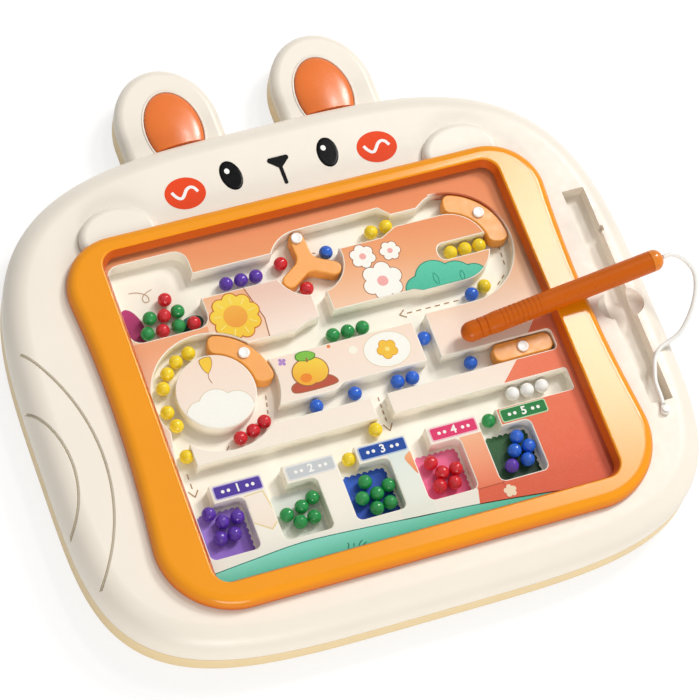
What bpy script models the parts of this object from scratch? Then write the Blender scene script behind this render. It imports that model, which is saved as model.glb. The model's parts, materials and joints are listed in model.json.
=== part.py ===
"""Rabbit-shaped magnetic maze board: a two-shell casing, a window with a bead maze under a
clear cover, four levers moved through the cover, and a magnetic pen on a short tether.

Metres, +Z up out of the board, +Y towards the ears, origin on the flat back under the
middle of the window.
"""
import math

import bmesh
import bpy
from mathutils import Matrix, Vector

# Fits
GAP = 0.0003                # clearance between touching pieces
SLIDE_GAP = 0.0006          # clearance round a lever in its channel
OVERRUN = 0.001             # how far a cutter runs past the face it opens

# Window
WINDOW_HALF_W = 0.102
WINDOW_HALF_H = 0.0886
WINDOW_CORNER_R = 0.0085
WINDOW_SLOPE = 0.0022       # how much the bezel's inner wall leans in

# Casing, around the window
CASING_SIDE = 0.05425       # casing beyond the window at each side
CASING_ABOVE = 0.0534
CASING_BELOW = 0.0330
BODY_CENTRE_X = -0.0014     # the casing sits a little left of the window
BODY_CENTRE_Y = -0.0028     # where the casing is widest
BODY_UP_POWER = 3.5         # squareness of the upper half of the outline
BODY_DOWN_POWER = 4.1
BODY_TOP_Z = 0.029
BODY_EDGE_R = 0.012
SEAM_Z = 0.013              # height of the joint between the two shells
WALL = 0.0024
BACK_EDGE_R = 0.003
OUTLINE_STEPS = 60
BODY_HALF_W = WINDOW_HALF_W + CASING_SIDE
BODY_LEFT_X = BODY_CENTRE_X - BODY_HALF_W
BODY_RIGHT_X = BODY_CENTRE_X + BODY_HALF_W
BODY_HIGH_Y = WINDOW_HALF_H + CASING_ABOVE
BODY_UP = BODY_HIGH_Y - BODY_CENTRE_Y
BODY_DOWN = WINDOW_HALF_H + CASING_BELOW + BODY_CENTRE_Y

# Ears
EAR_X_SHARE = 0.4           # middle of an ear, of the window's half width
EAR_HALF_W = 0.0262
EAR_STRAIGHT = 0.0135       # straight sides above the casing's upper edge
EAR_ROUND_H = 0.0325
EAR_ROOT = 0.022            # ear inside the casing's upper edge
EAR_TOP_Z = 0.0185
EAR_EDGE_R = 0.0048
INSERT_SHIFT = 0.0014       # insert nearer to the middle than its ear
INSERT_RISE = 0.010         # middle of an insert above the casing's upper edge
INSERT_HALF_W = 0.0139
INSERT_HALF_H = 0.0208
INSERT_RECESS = 0.0011
INSERT_PROUD = 0.0013
INSERT_EDGE_R = 0.0016
EAR_X = WINDOW_HALF_W * EAR_X_SHARE
EAR_ROUND_Y = BODY_HIGH_Y + EAR_STRAIGHT
EAR_ROOT_Y = BODY_HIGH_Y - EAR_ROOT
INSERT_X = EAR_X - INSERT_SHIFT
INSERT_Y = BODY_HIGH_Y + INSERT_RISE

# Tray and cover
TRAY_MARGIN = 0.0026        # tray beyond the window on each side
TRAY_CORNER_R = 0.006
TRAY_FLOOR = 0.0015
RIM_DROP = 0.0003           # tray rim below the cover
ISLAND_DROP = 0.001         # island tops below the cover
CHANNEL_DEPTH = 0.0077
COVER_T = 0.0015

# Bezel, as its widths beyond the window
BEZEL_TOP_Z = 0.036
BEZEL_EDGE_R = 0.0050
BEZEL_ABOVE = 0.0084
BEZEL_BELOW = 0.0119
BEZEL_UP_SIDE = 0.0220
BEZEL_WAIST_SIDE = 0.0152
BEZEL_DOWN_SIDE = 0.0254
BEZEL_WAIST_Y = 0.008
BEZEL_UP_R = 0.027
BEZEL_WAIST_R = 0.650
BEZEL_DOWN_R = 0.036
BEZEL_UP = WINDOW_HALF_H + BEZEL_ABOVE
BEZEL_DOWN = WINDOW_HALF_H + BEZEL_BELOW

# Paws
PAW_INSET = 0.0137          # middle of a paw inside the window's side edge
PAW_HALF_W = 0.0195
PAW_HALF_H = 0.0155
PAW_T = 0.0046
PAW_EDGE_R = 0.0036

# Bead channels, as shares of the window's half width and half height
CHANNEL_CORNER_R = 0.0012
POCKET_CORNER_R = 0.006
ARENA_R = 0.0176
RING_OUTER_R = 0.0304
RING_CHANNEL_W = 0.0111
LOOP_OUTER_R = 0.0300
LOOP_CHANNEL_W = 0.0114
ARENA_SHARE = (-0.044, 0.688)
RING_SHARE = (-0.676, 0.085)
LOOP_SHARE = (0.655, 0.559)
HEAP_POCKET_SHARES = ((-0.975, 0.466), (-0.590, 0.937))
UPPER_CHANNEL_SHARES = ((-0.637, 0.634), (-0.040, 0.786))
TOP_CHANNEL_SHARES = (
    (-0.044, 0.722), (0.343, 0.722), (0.426, 0.769), (0.655, 0.769), (0.655, 0.897),
    (0.608, 0.875), (0.559, 0.839), (0.426, 0.839), (0.377, 0.897), (-0.044, 0.887),
)
MIDDLE_CHANNEL_SHARES = (
    (0.655, 0.349), (0.441, 0.349), (0.397, 0.370), (-0.008, 0.370), (-0.008, 0.530),
    (-0.081, 0.530), (-0.081, 0.356), (-0.147, 0.345), (-0.216, 0.312), (-0.471, 0.312),
    (-0.471, 0.192), (0.402, 0.192), (0.402, 0.221), (0.655, 0.221),
)
LINK_CHANNEL_SHARES = ((0.330, -0.100), (0.402, 0.225))
LEFT_CHANNEL_SHARES = (
    (-0.941, -0.068), (-0.974, -0.305), (-0.974, -0.474), (-0.880, -0.474), (-0.880, -0.068),
)
LOWER_CHANNEL_SHARES = (
    (-0.490, -0.172), (0.951, -0.172), (0.951, -0.050), (-0.088, -0.050), (-0.137, -0.081),
    (-0.490, -0.081),
)
DROP_CHANNEL_SHARES = ((0.006, -0.320), (0.086, -0.160))
SORTING_CHANNEL_SHARES = ((-0.974, -0.423), (0.949, -0.297))
GARAGE_SHARES = ((0.578, 0.499), (0.863, 0.598))
SLOT_END_R = 0.0045
CUP_COUNT = 5
CUP_LEFT_SHARE = -0.967
CUP_PITCH_SHARE = 0.354
CUP_TOP_SHARE = -0.526
CUP_GATE_SHARES = (-0.545, -0.400)
CUP_W = 0.0244
CUP_H = 0.0267
CUP_GATE_W = 0.0102
RING_INNER_R = RING_OUTER_R - RING_CHANNEL_W
LOOP_INNER_R = LOOP_OUTER_R - LOOP_CHANNEL_W

# Levers
LEVER_DROP = 0.0006         # lever tops below the island tops
STUD_R = 0.0028
STUD_RISE = 0.0013
STUD_PEG_R = 0.0014
STUD_PEG_DEPTH = 0.003
STUD_EDGE_R = 0.0004
ARM_COUNT = 3
ARM_HALF_W = 0.0038
ARM_FILLET_R = 0.006        # between two arms
ARM_TIP_GAP = 0.0007
ARM_REST_DEG = 93.0
ROTOR_STUD_ORBIT = 0.0136
PIVOT_R = 0.0018
GATE_CORNER_R = 0.004
RING_GATE_DEG = (-2.5, 81.5)
LOOP_GATE_DEG = (-6.5, 81.5)
SLIDER_LENGTH = 0.0305
SLIDER_CORNER_SHARE = 0.83  # end corners, of the slider's half height

# Beads
BEAD_R = 0.0034
BEAD_LIFT = 0.0002          # clearance of a bead above the channel floor
BEAD_SPACE = 0.0008         # space between two beads in a row
PILE_PITCH_SHARE = 0.93     # spacing of joined beads, of their diameter
ARENA_BEAD_DEG = (20.0, 160.0, 252.0)
RING_BEAD_DEG = (102.5, 120.3, 138.1, 156.5, 185.5, 204.0)
UPPER_ROW_SHARE = (-0.368, 0.700)
MIDDLE_ROW_SHARE = (0.030, 0.252)
SORTING_ROW_SHARE = (0.746, -0.345)
ROW_COUNT = 3
LOWER_BEAD_SHARES = ((0.243, -0.106), (0.168, -0.106), (-0.046, -0.109), (-0.242, -0.124))
PUSHED_BEAD_SHARE = (0.537, -0.109)
GARAGE_ROW_SHARE = (0.722, 0.552)
HEAP_SHARE = (-0.770, 0.520)
HEAP_ROWS = (4, 3, 1)
CUP_PILE_ROWS = ((3, 2), (3, 2), (3, 3), (3, 2), (3, 2))
PILE_FOOT_SHARE = 0.055     # lowest beads above the cup's lower edge, of its height

# Pen slot
SLOT_FROM_EDGE = 0.01335    # casing left beside the slot
SLOT_W = 0.0115
SLOT_SHARES = (-0.632, 0.717)   # its two ends, of the window's half height
SLOT_DEPTH = 0.008
SCOOP_FROM_EDGE = 0.01885
SCOOP_Y = -0.002
SCOOP_HALF_W = 0.012
SCOOP_HALF_H = 0.0085
SCOOP_DEPTH = 0.006
NICK_SHARE = 0.446          # middle of the nick, of the window's half height
NICK_HALF = 0.0015
SLOT_RIGHT_X = BODY_RIGHT_X - SLOT_FROM_EDGE
SLOT_LEFT_X = SLOT_RIGHT_X - SLOT_W
SLOT_LOW_Y = WINDOW_HALF_H * SLOT_SHARES[0]
SLOT_HIGH_Y = WINDOW_HALF_H * SLOT_SHARES[1]
SCOOP_X = BODY_RIGHT_X - SCOOP_FROM_EDGE
NICK_Y = WINDOW_HALF_H * NICK_SHARE

# Grooves in the left cheek of the casing
GROOVE_CENTRE_Y = -0.010
GROOVE_R = 0.0009
GROOVE_BEYOND = (0.07385, 0.04065)    # centres of the two arcs beyond the casing's edge
GROOVE_ARC_R = (0.101, 0.053)
GROOVE_HALF_DEG = (37.5, 41.0)
GROOVE_STEPS = 14

# Pen
PEN_LENGTH = 0.1063
PEN_R = 0.0053
PEN_TIP_R = 0.0050
PEN_TIP_INSET = 0.0502      # tip inside the window's side edge
PEN_TIP_Y = 0.0007
PEN_YAW_DEG = 3.9
TIP_CAP_LENGTH = 0.0135
TIP_GROOVE_FROM_TIP = 0.0090
TAIL_CAP_LENGTH = 0.0065
TAIL_DOME_SHARE = 0.7
GRIP_FROM_TIP = 0.0200
GRIP_RIB_COUNT = 9
GRIP_PITCH = 0.0024
GRIP_DEPTH = 0.0005
MAGNET_R = 0.0030
MAGNET_LENGTH = 0.008
PEN_STEPS = 16
PEN_TIP_X = WINDOW_HALF_W - PEN_TIP_INSET

# Tether, from its anchor to the pen's tail
CORD_R = 0.0011
ANCHOR_R = 0.0024
ANCHOR_H = 0.0026
ANCHOR_FROM_EDGE = 0.01965
ANCHOR_BELOW_SLOT = 0.005
ANCHOR_X = BODY_RIGHT_X - ANCHOR_FROM_EDGE
ANCHOR_Y = SLOT_LOW_Y - ANCHOR_BELOW_SLOT
CORD_STEPS = (                      # the route from the anchor's foot
    (-0.00020, 0.00270, 0.00140), (0.00030, 0.00800, 0.00140), (0.00070, 0.01450, 0.00140),
    (0.00260, 0.02050, 0.00140), (0.00530, 0.02650, 0.00140), (0.00990, 0.03110, 0.00150),
    (0.01600, 0.03320, 0.00210), (0.02160, 0.03540, 0.00370), (0.02680, 0.03990, 0.00620),
    (0.03160, 0.04590, 0.00890), (0.03510, 0.05300, 0.01200), (0.03590, 0.05920, 0.01480),
    (0.03360, 0.06400, 0.01720), (0.02990, 0.06770, 0.01890), (0.02600, 0.06910, 0.01980),
    (0.02212, 0.06890, 0.01966),
)
CORD_POINTS_PER_SPAN = 2

# Fasteners and posts
SCREW_BEYOND = (0.011, 0.014, 0.010)    # posts beyond the window's side edge, from the top
SCREW_ABOVE = 0.0140        # upper posts above the window
SCREW_BELOW = 0.0044        # lower posts below the window
SCREW_MIDDLE_Y = -0.030
SCREW_HEAD_R = 0.0029
SCREW_HEAD_H = 0.0018
SCREW_SHANK_R = 0.0013
SCREW_RECESS = 0.0006       # head below the flat back
SCREW_TIP_Z = 0.0225
POST_R = 0.0046
BOSS_R = 0.0036
POST_TOP_Z = 0.0156
TRAY_POST_SHARES = ((0.66, 0.66), (0.66, -0.66))
TRAY_POST_R = 0.004

# Heights that follow from the sizes above
COVER_LOW_Z = BODY_TOP_Z
COVER_TOP_Z = COVER_LOW_Z + COVER_T
ISLAND_Z = COVER_LOW_Z - ISLAND_DROP
CHANNEL_Z = ISLAND_Z - CHANNEL_DEPTH
TRAY_LOW_Z = CHANNEL_Z - TRAY_FLOOR
LEVER_TOP_Z = ISLAND_Z - LEVER_DROP
LEVER_LOW_Z = CHANNEL_Z + SLIDE_GAP
BEAD_Z = CHANNEL_Z + BEAD_LIFT + BEAD_R

# Colours
CREAM = (0.86, 0.80, 0.72)
BEIGE = (0.70, 0.54, 0.32)
BEZEL_ORANGE = (0.90, 0.36, 0.02)
LEVER_ORANGE = (0.90, 0.42, 0.08)
PEN_ORANGE = (0.75, 0.19, 0.01)
INSERT_ORANGE = (0.85, 0.22, 0.05)
FLOOR_CREAM = (0.90, 0.84, 0.72)
WHITE = (0.90, 0.90, 0.88)
STEEL = (0.60, 0.60, 0.62)
BEAD_COLOURS = {
    "purple": (0.09, 0.03, 0.36), "red": (0.60, 0.02, 0.03), "blue": (0.02, 0.10, 0.58),
    "green": (0.02, 0.26, 0.06), "yellow": (0.90, 0.60, 0.02), "white": (0.85, 0.85, 0.83),
}


# Scene set-up

for old in list(bpy.data.objects):
    bpy.data.objects.remove(old, do_unlink=True)
parts = bpy.data.collections.new("magnetic_maze_board")
bpy.context.scene.collection.children.link(parts)


def material(name, colour, roughness=0.4, metallic=0.0, alpha=1.0):
    """A Principled material of one colour."""
    made = bpy.data.materials.new(name)
    made.use_nodes = True
    shader = made.node_tree.nodes["Principled BSDF"]
    shader.inputs["Base Color"].default_value = (*colour, 1)
    shader.inputs["Roughness"].default_value = roughness
    shader.inputs["Metallic"].default_value = metallic
    shader.inputs["Alpha"].default_value = alpha
    return made


def dress(piece, colour, roughness=0.4, metallic=0.0, alpha=1.0):
    """Give a piece its own material and smooth shading."""
    piece.data.materials.clear()
    piece.data.materials.append(material(piece.name, colour, roughness, metallic, alpha))
    piece.data.shade_smooth()
    piece.data.set_sharp_from_angle(angle=math.radians(35))
    return piece


# Outlines

def window_point(share):
    """A point of the maze, from its shares of the window's half width and half height."""
    return share[0] * WINDOW_HALF_W, share[1] * WINDOW_HALF_H


def rounded(corners, steps=5):
    """A closed outline through corners of (x, y, radius), each turned into an arc."""
    points = []
    count = len(corners)
    for index, (x, y, radius) in enumerate(corners):
        here = Vector((x, y))
        before = (Vector(corners[index - 1][:2]) - here).normalized()
        after = (Vector(corners[(index + 1) % count][:2]) - here).normalized()
        half = before.angle(after) / 2
        if radius <= 0 or half > math.radians(89):
            points.append(tuple(here))
            continue
        reach = radius / math.tan(half)
        middle = here + (before + after).normalized() * (radius / math.sin(half))
        start = here + before * reach - middle
        end = here + after * reach - middle
        turn = start.angle_signed(end)
        for step in range(steps + 1):
            spoke = Matrix.Rotation(-turn * step / steps, 2) @ start
            points.append(tuple(middle + spoke))
    return points


def box_corners(low, high, radius):
    """The four corners of an upright rectangle, each with the same radius."""
    return ((low[0], low[1], radius), (high[0], low[1], radius),
            (high[0], high[1], radius), (low[0], high[1], radius))


def centred_box(half_w, half_h, radius, steps=5):
    """A rounded rectangle about the middle of the window."""
    return rounded(box_corners((-half_w, -half_h), (half_w, half_h), radius), steps)


def ellipse(half_w, half_h, steps, centre=(0, 0)):
    """An ellipse's outline."""
    turns = [2 * math.pi * step / steps for step in range(steps)]
    return [(centre[0] + half_w * math.cos(turn), centre[1] + half_h * math.sin(turn))
            for turn in turns]


def arc(radius, low_deg, high_deg, steps):
    """Points of an arc about the origin."""
    span = high_deg - low_deg
    turns = [math.radians(low_deg + span * step / steps) for step in range(steps + 1)]
    return [(radius * math.cos(turn), radius * math.sin(turn)) for turn in turns]


def polar(centre, radius, degrees):
    turn = math.radians(degrees)
    return centre[0] + radius * math.cos(turn), centre[1] + radius * math.sin(turn)


def body_outline(inset=0):
    """The casing's outline: an ellipse with squared shoulders, set in by a distance."""
    points = []
    for step in range(OUTLINE_STEPS):
        turn = 2 * math.pi * step / OUTLINE_STEPS
        upper = math.sin(turn) >= 0
        power = BODY_UP_POWER if upper else BODY_DOWN_POWER
        reach = (BODY_UP if upper else BODY_DOWN) - inset
        across = math.copysign(abs(math.cos(turn)) ** (2 / power), math.cos(turn))
        along = math.copysign(abs(math.sin(turn)) ** (2 / power), math.sin(turn))
        points.append((BODY_CENTRE_X + (BODY_HALF_W - inset) * across,
                       BODY_CENTRE_Y + reach * along))
    return points


def ear_outline(side, inset=0, steps=16):
    """An ear: straight sides from inside the casing and a rounded top."""
    middle = BODY_CENTRE_X + side * EAR_X
    half = EAR_HALF_W - inset
    top = arc(1, 0, 180, steps)
    points = [(middle + half * x, EAR_ROUND_Y + (EAR_ROUND_H - inset) * y) for x, y in top]
    points.append((middle - half, EAR_ROOT_Y))
    points.append((middle + half, EAR_ROOT_Y))
    return points


def bezel_outline(grow=0, steps=7):
    """The bezel's outer edge: wide shoulders, a waist and wider feet."""
    right = ((WINDOW_HALF_W + BEZEL_DOWN_SIDE + grow, -BEZEL_DOWN - grow, BEZEL_DOWN_R + grow),
             (WINDOW_HALF_W + BEZEL_WAIST_SIDE + grow, BEZEL_WAIST_Y, BEZEL_WAIST_R - grow),
             (WINDOW_HALF_W + BEZEL_UP_SIDE + grow, BEZEL_UP + grow, BEZEL_UP_R + grow))
    left = tuple((-x, y, radius) for x, y, radius in reversed(right))
    return rounded(right + left, steps)


# Solids

def as_mesh(holder, name):
    """Turn a curve object into a welded mesh object in world space."""
    bpy.context.view_layer.update()
    ready = holder.evaluated_get(bpy.context.evaluated_depsgraph_get())
    mesh = bpy.data.meshes.new_from_object(ready)
    mesh.transform(holder.matrix_world)
    curve = holder.data
    bpy.data.objects.remove(holder, do_unlink=True)
    bpy.data.curves.remove(curve)
    work = bmesh.new()
    work.from_mesh(mesh)
    bmesh.ops.remove_doubles(work, verts=work.verts, dist=OVERRUN / 1000)
    bmesh.ops.recalc_face_normals(work, faces=work.faces)
    work.to_mesh(mesh)
    work.free()
    mesh.name = name
    piece = bpy.data.objects.new(name, mesh)
    parts.objects.link(piece)
    return piece


def flat(name, outline, low, high):
    """A flat outline raised from one height to another, its caps one face each."""
    curve = bpy.data.curves.new(name, "CURVE")
    curve.dimensions = "2D"
    curve.fill_mode = "BOTH"
    curve.extrude = (high - low) / 2
    spline = curve.splines.new("POLY")
    spline.points.add(len(outline) - 1)
    for point, (x, y) in zip(spline.points, outline):
        point.co = (x, y, 0, 1)
    spline.use_cyclic_u = True
    holder = bpy.data.objects.new(name + "_outline", curve)
    holder.location.z = (low + high) / 2
    parts.objects.link(holder)
    piece = as_mesh(holder, name)
    work = bmesh.new()
    work.from_mesh(piece.data)
    for way in (1, -1):
        cap = [face for face in work.faces if face.normal.z * way > 0.99]
        bmesh.ops.dissolve_faces(work, faces=cap)
    work.to_mesh(piece.data)
    work.free()
    return piece


def round_rim(piece, height, radius, segments):
    """Round the edges that run round a piece's flat face at one height."""
    work = bmesh.new()
    work.from_mesh(piece.data)
    near = GAP / 10
    rim = [edge for edge in work.edges
           if all(abs(vert.co.z - height) < near for vert in edge.verts)
           and edge.calc_face_angle(0) > math.radians(60)]
    bmesh.ops.bevel(work, geom=rim, offset=radius, segments=segments, profile=0.5,
                    affect="EDGES", clamp_overlap=True)
    bmesh.ops.recalc_face_normals(work, faces=work.faces)
    work.to_mesh(piece.data)
    work.free()
    return piece


def cylinder(name, radius, low, high, place=(0, 0), steps=24):
    """An upright cylinder."""
    bpy.ops.mesh.primitive_cylinder_add(vertices=steps, radius=radius, depth=high - low,
                                        location=(*place, (low + high) / 2))
    return claim(name)


def claim(name):
    """Name the active primitive, bake its place into its mesh and file it with the parts."""
    piece = bpy.context.active_object
    piece.name = name
    piece.data.name = name
    bpy.context.view_layer.update()
    piece.data.transform(piece.matrix_world)
    piece.matrix_world = Matrix.Identity(4)
    for owner in list(piece.users_collection):
        owner.objects.unlink(piece)
    parts.objects.link(piece)
    return piece


def combine(piece, tools, operation):
    """Apply Boolean steps to a piece and remove the tools."""
    for tool in tools:
        step = piece.modifiers.new("step", "BOOLEAN")
        step.operation = operation
        step.solver = "EXACT"
        step.object = tool
        bpy.context.view_layer.objects.active = piece
        bpy.ops.object.modifier_apply(modifier=step.name)
        bpy.data.objects.remove(tool, do_unlink=True)
    work = bmesh.new()
    work.from_mesh(piece.data)
    bmesh.ops.remove_doubles(work, verts=work.verts, dist=OVERRUN / 1000)
    work.to_mesh(piece.data)
    work.free()
    return piece


def cut(piece, *tools):
    return combine(piece, tools, "DIFFERENCE")


def join(piece, *tools):
    return combine(piece, tools, "UNION")


def turned(name, profile, steps):
    """A solid turned about Z from a profile of (radius, height), listed from top to bottom."""
    mesh = bpy.data.meshes.new(name)
    mesh.from_pydata([(radius, 0, height) for radius, height in profile],
                     [(index, index + 1) for index in range(len(profile) - 1)], [])
    piece = bpy.data.objects.new(name, mesh)
    parts.objects.link(piece)
    screw = piece.modifiers.new("turn", "SCREW")
    screw.steps = steps
    screw.render_steps = steps
    screw.use_merge_vertices = True
    screw.merge_threshold = OVERRUN / 100
    bpy.context.view_layer.objects.active = piece
    bpy.ops.object.modifier_apply(modifier=screw.name)
    work = bmesh.new()
    work.from_mesh(piece.data)
    bmesh.ops.remove_doubles(work, verts=work.verts, dist=OVERRUN / 1000)
    bmesh.ops.recalc_face_normals(work, faces=work.faces)
    work.to_mesh(piece.data)
    work.free()
    return piece


def hang_on(piece, empty):
    """Parent a piece to an empty and keep it where it is."""
    piece.parent = empty
    piece.matrix_parent_inverse = empty.matrix_world.inverted()


def axis_empty(name, place):
    """An empty on a joint's axis."""
    empty = bpy.data.objects.new(name, None)
    empty.location = (*place, LEVER_LOW_Z)
    parts.objects.link(empty)
    bpy.context.view_layer.update()
    return empty


# Casing

def casing_top(distance):
    """Height of the casing's top face at a distance in from its edge."""
    if distance >= BODY_EDGE_R:
        return BODY_TOP_Z
    drop = BODY_EDGE_R - max(distance, 0)
    return BODY_TOP_Z - BODY_EDGE_R + math.sqrt(BODY_EDGE_R ** 2 - drop ** 2)


def edge_distance(x, y):
    """Distance of a point inside the casing from its outline."""
    here = Vector((x, y))
    outline = [Vector(point) for point in body_outline()]
    nearest = BODY_HALF_W
    for index, end in enumerate(outline):
        start = outline[index - 1]
        side = end - start
        share = min(max((here - start).dot(side) / side.length_squared, 0), 1)
        nearest = min(nearest, (here - start - side * share).length)
    return nearest


def groove_tool(index):
    """A rod that follows the casing's top face along an arc and presses the groove in."""
    curve = bpy.data.curves.new("groove", "CURVE")
    curve.dimensions = "3D"
    curve.bevel_depth = GROOVE_R
    curve.bevel_resolution = 1
    curve.use_fill_caps = True
    centre_x = BODY_LEFT_X - GROOVE_BEYOND[index]
    half_deg = GROOVE_HALF_DEG[index]
    path = [(centre_x + x, GROOVE_CENTRE_Y + y)
            for x, y in arc(GROOVE_ARC_R[index], -half_deg, half_deg, GROOVE_STEPS)]
    spline = curve.splines.new("POLY")
    spline.points.add(len(path) - 1)
    for point, (x, y) in zip(spline.points, path):
        point.co = (x, y, casing_top(edge_distance(x, y)) + GROOVE_R / 3, 1)
    holder = bpy.data.objects.new("groove_line", curve)
    parts.objects.link(holder)
    return as_mesh(holder, "groove_%d" % index)


def slot_outline(grow=0):
    low = (SLOT_LEFT_X - grow, SLOT_LOW_Y - grow)
    high = (SLOT_RIGHT_X + grow, SLOT_HIGH_Y + grow)
    return rounded(box_corners(low, high, 0))


def screw_spots():
    heights = (WINDOW_HALF_H + SCREW_ABOVE, SCREW_MIDDLE_Y, -WINDOW_HALF_H - SCREW_BELOW)
    return [(side * (WINDOW_HALF_W + beyond), y)
            for side in (-1, 1) for beyond, y in zip(SCREW_BEYOND, heights)]


def make_front_shell():
    """Cream upper shell with ears, window opening, pen slot, scoop and screw bosses."""
    shell = round_rim(flat("front_shell", body_outline(), SEAM_Z, BODY_TOP_Z),
                      BODY_TOP_Z, BODY_EDGE_R, 4)
    ears = [round_rim(flat("ear", ear_outline(side), SEAM_Z, EAR_TOP_Z), EAR_TOP_Z, EAR_EDGE_R, 3)
            for side in (-1, 1)]
    join(shell, *ears)
    opening_w = WINDOW_HALF_W + TRAY_MARGIN + GAP
    opening_h = WINDOW_HALF_H + TRAY_MARGIN + GAP
    hollow = round_rim(flat("hollow", body_outline(WALL), SEAM_Z - OVERRUN, BODY_TOP_Z - WALL),
                       BODY_TOP_Z - WALL, BODY_EDGE_R - WALL, 2)
    collar = flat("collar", centred_box(opening_w + WALL, opening_h + WALL, TRAY_CORNER_R + WALL),
                  TRAY_LOW_Z, BODY_TOP_Z)
    pan = flat("pan", slot_outline(WALL), BODY_TOP_Z - SLOT_DEPTH - WALL, BODY_TOP_Z)
    dish = flat("dish", ellipse(SCOOP_HALF_W + WALL, SCOOP_HALF_H + WALL, 20, (SCOOP_X, SCOOP_Y)),
                BODY_TOP_Z - SCOOP_DEPTH - WALL, BODY_TOP_Z)
    cut(hollow, collar, pan, dish)
    cut(shell, hollow)
    bosses = [cylinder("boss", BOSS_R, POST_TOP_Z + GAP, BODY_TOP_Z - WALL / 2, spot, 16)
              for spot in screw_spots()]
    join(shell, *bosses)
    pilots = [cylinder("pilot", SCREW_SHANK_R + GAP, POST_TOP_Z, SCREW_TIP_Z + GAP, spot, 12)
              for spot in screw_spots()]
    opening = flat("opening", centred_box(opening_w, opening_h, TRAY_CORNER_R + GAP),
                   TRAY_LOW_Z - OVERRUN, BODY_TOP_Z + OVERRUN)
    slot = flat("slot", slot_outline(), BODY_TOP_Z - SLOT_DEPTH, BODY_TOP_Z + OVERRUN)
    scoop = flat("scoop", ellipse(SCOOP_HALF_W, SCOOP_HALF_H, 20, (SCOOP_X, SCOOP_Y)),
                 BODY_TOP_Z - SCOOP_DEPTH, BODY_TOP_Z + OVERRUN)
    corners = box_corners((SLOT_RIGHT_X - NICK_HALF, NICK_Y - NICK_HALF),
                          (SLOT_RIGHT_X + NICK_HALF, NICK_Y + NICK_HALF), 0)
    nick = flat("nick", rounded(corners), BODY_TOP_Z - SLOT_DEPTH / 2, BODY_TOP_Z + OVERRUN)
    recesses = [flat("recess", insert_outline(side, GAP), EAR_TOP_Z - INSERT_RECESS,
                     EAR_TOP_Z + OVERRUN) for side in (-1, 1)]
    for recess in recesses:
        cut(recess, flat("keep", body_outline(-GAP), SEAM_Z - OVERRUN, BODY_TOP_Z))
    grooves = [groove_tool(index) for index in range(len(GROOVE_ARC_R))]
    cut(shell, opening, slot, scoop, nick, *pilots, *recesses, *grooves)
    return dress(shell, CREAM)


def make_back_shell():
    """Beige lower shell: a shallow tray with screw posts and posts under the maze tray."""
    shell = round_rim(flat("back_shell", body_outline(), 0, SEAM_Z - GAP), 0, BACK_EDGE_R, 3)
    ears = [round_rim(flat("ear", ear_outline(side), 0, SEAM_Z - GAP), 0, BACK_EDGE_R, 3)
            for side in (-1, 1)]
    join(shell, *ears)
    hollow = flat("hollow", body_outline(WALL), WALL, SEAM_Z + OVERRUN)
    join(hollow, *[flat("ear_hollow", ear_outline(side, WALL), WALL, SEAM_Z + OVERRUN)
                   for side in (-1, 1)])
    cut(shell, hollow)
    posts = [cylinder("post", POST_R, WALL / 2, POST_TOP_Z, spot, 16) for spot in screw_spots()]
    for sx, sy in TRAY_POST_SHARES:
        for side in (-1, 1):
            posts.append(cylinder("tray_post", TRAY_POST_R, WALL / 2, TRAY_LOW_Z - GAP,
                                  window_point((side * sx, sy)), 16))
    join(shell, *posts)
    holes = []
    for spot in screw_spots():
        holes.append(cylinder("hole", SCREW_SHANK_R + GAP, -OVERRUN, POST_TOP_Z + OVERRUN, spot, 12))
        holes.append(cylinder("seat", SCREW_HEAD_R + GAP, -OVERRUN,
                              SCREW_RECESS + SCREW_HEAD_H + GAP, spot, 20))
    cut(shell, *holes)
    return dress(shell, BEIGE)


def insert_outline(side, grow=0, steps=28):
    middle = BODY_CENTRE_X + side * INSERT_X
    return ellipse(INSERT_HALF_W + grow, INSERT_HALF_H + grow, steps, (middle, INSERT_Y))


def make_ear_insert(name, side):
    """Glossy orange oval in an ear, cut where the casing overlaps it."""
    low = EAR_TOP_Z - INSERT_RECESS + GAP
    high = EAR_TOP_Z + INSERT_PROUD
    insert = round_rim(flat(name, insert_outline(side), low, high), high, INSERT_EDGE_R, 3)
    cut(insert, flat("keep", body_outline(-GAP * 2), SEAM_Z, BODY_TOP_Z))
    return dress(insert, INSERT_ORANGE, 0.25)


def make_screw(index, spot):
    """Pan-head screw, driven from the back, with a cross in its head."""
    low = SCREW_RECESS
    seat = low + SCREW_HEAD_H
    screw = round_rim(cylinder("screw_%d" % index, SCREW_HEAD_R, low, seat, spot, 16),
                      low, SCREW_HEAD_H / 4, 1)
    join(screw, cylinder("shank", SCREW_SHANK_R, seat - SCREW_HEAD_H / 3, SCREW_TIP_Z, spot, 8))
    arm = SCREW_HEAD_R * 0.6
    half = SCREW_HEAD_R * 0.14
    for across, along in ((arm, half), (half, arm)):
        corners = box_corners((spot[0] - across, spot[1] - along),
                              (spot[0] + across, spot[1] + along), 0)
        cut(screw, flat("cross", rounded(corners), low - OVERRUN, low + SCREW_HEAD_H / 2))
    return dress(screw, STEEL, 0.35, 1.0)


# Bezel, cover and paws

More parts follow.
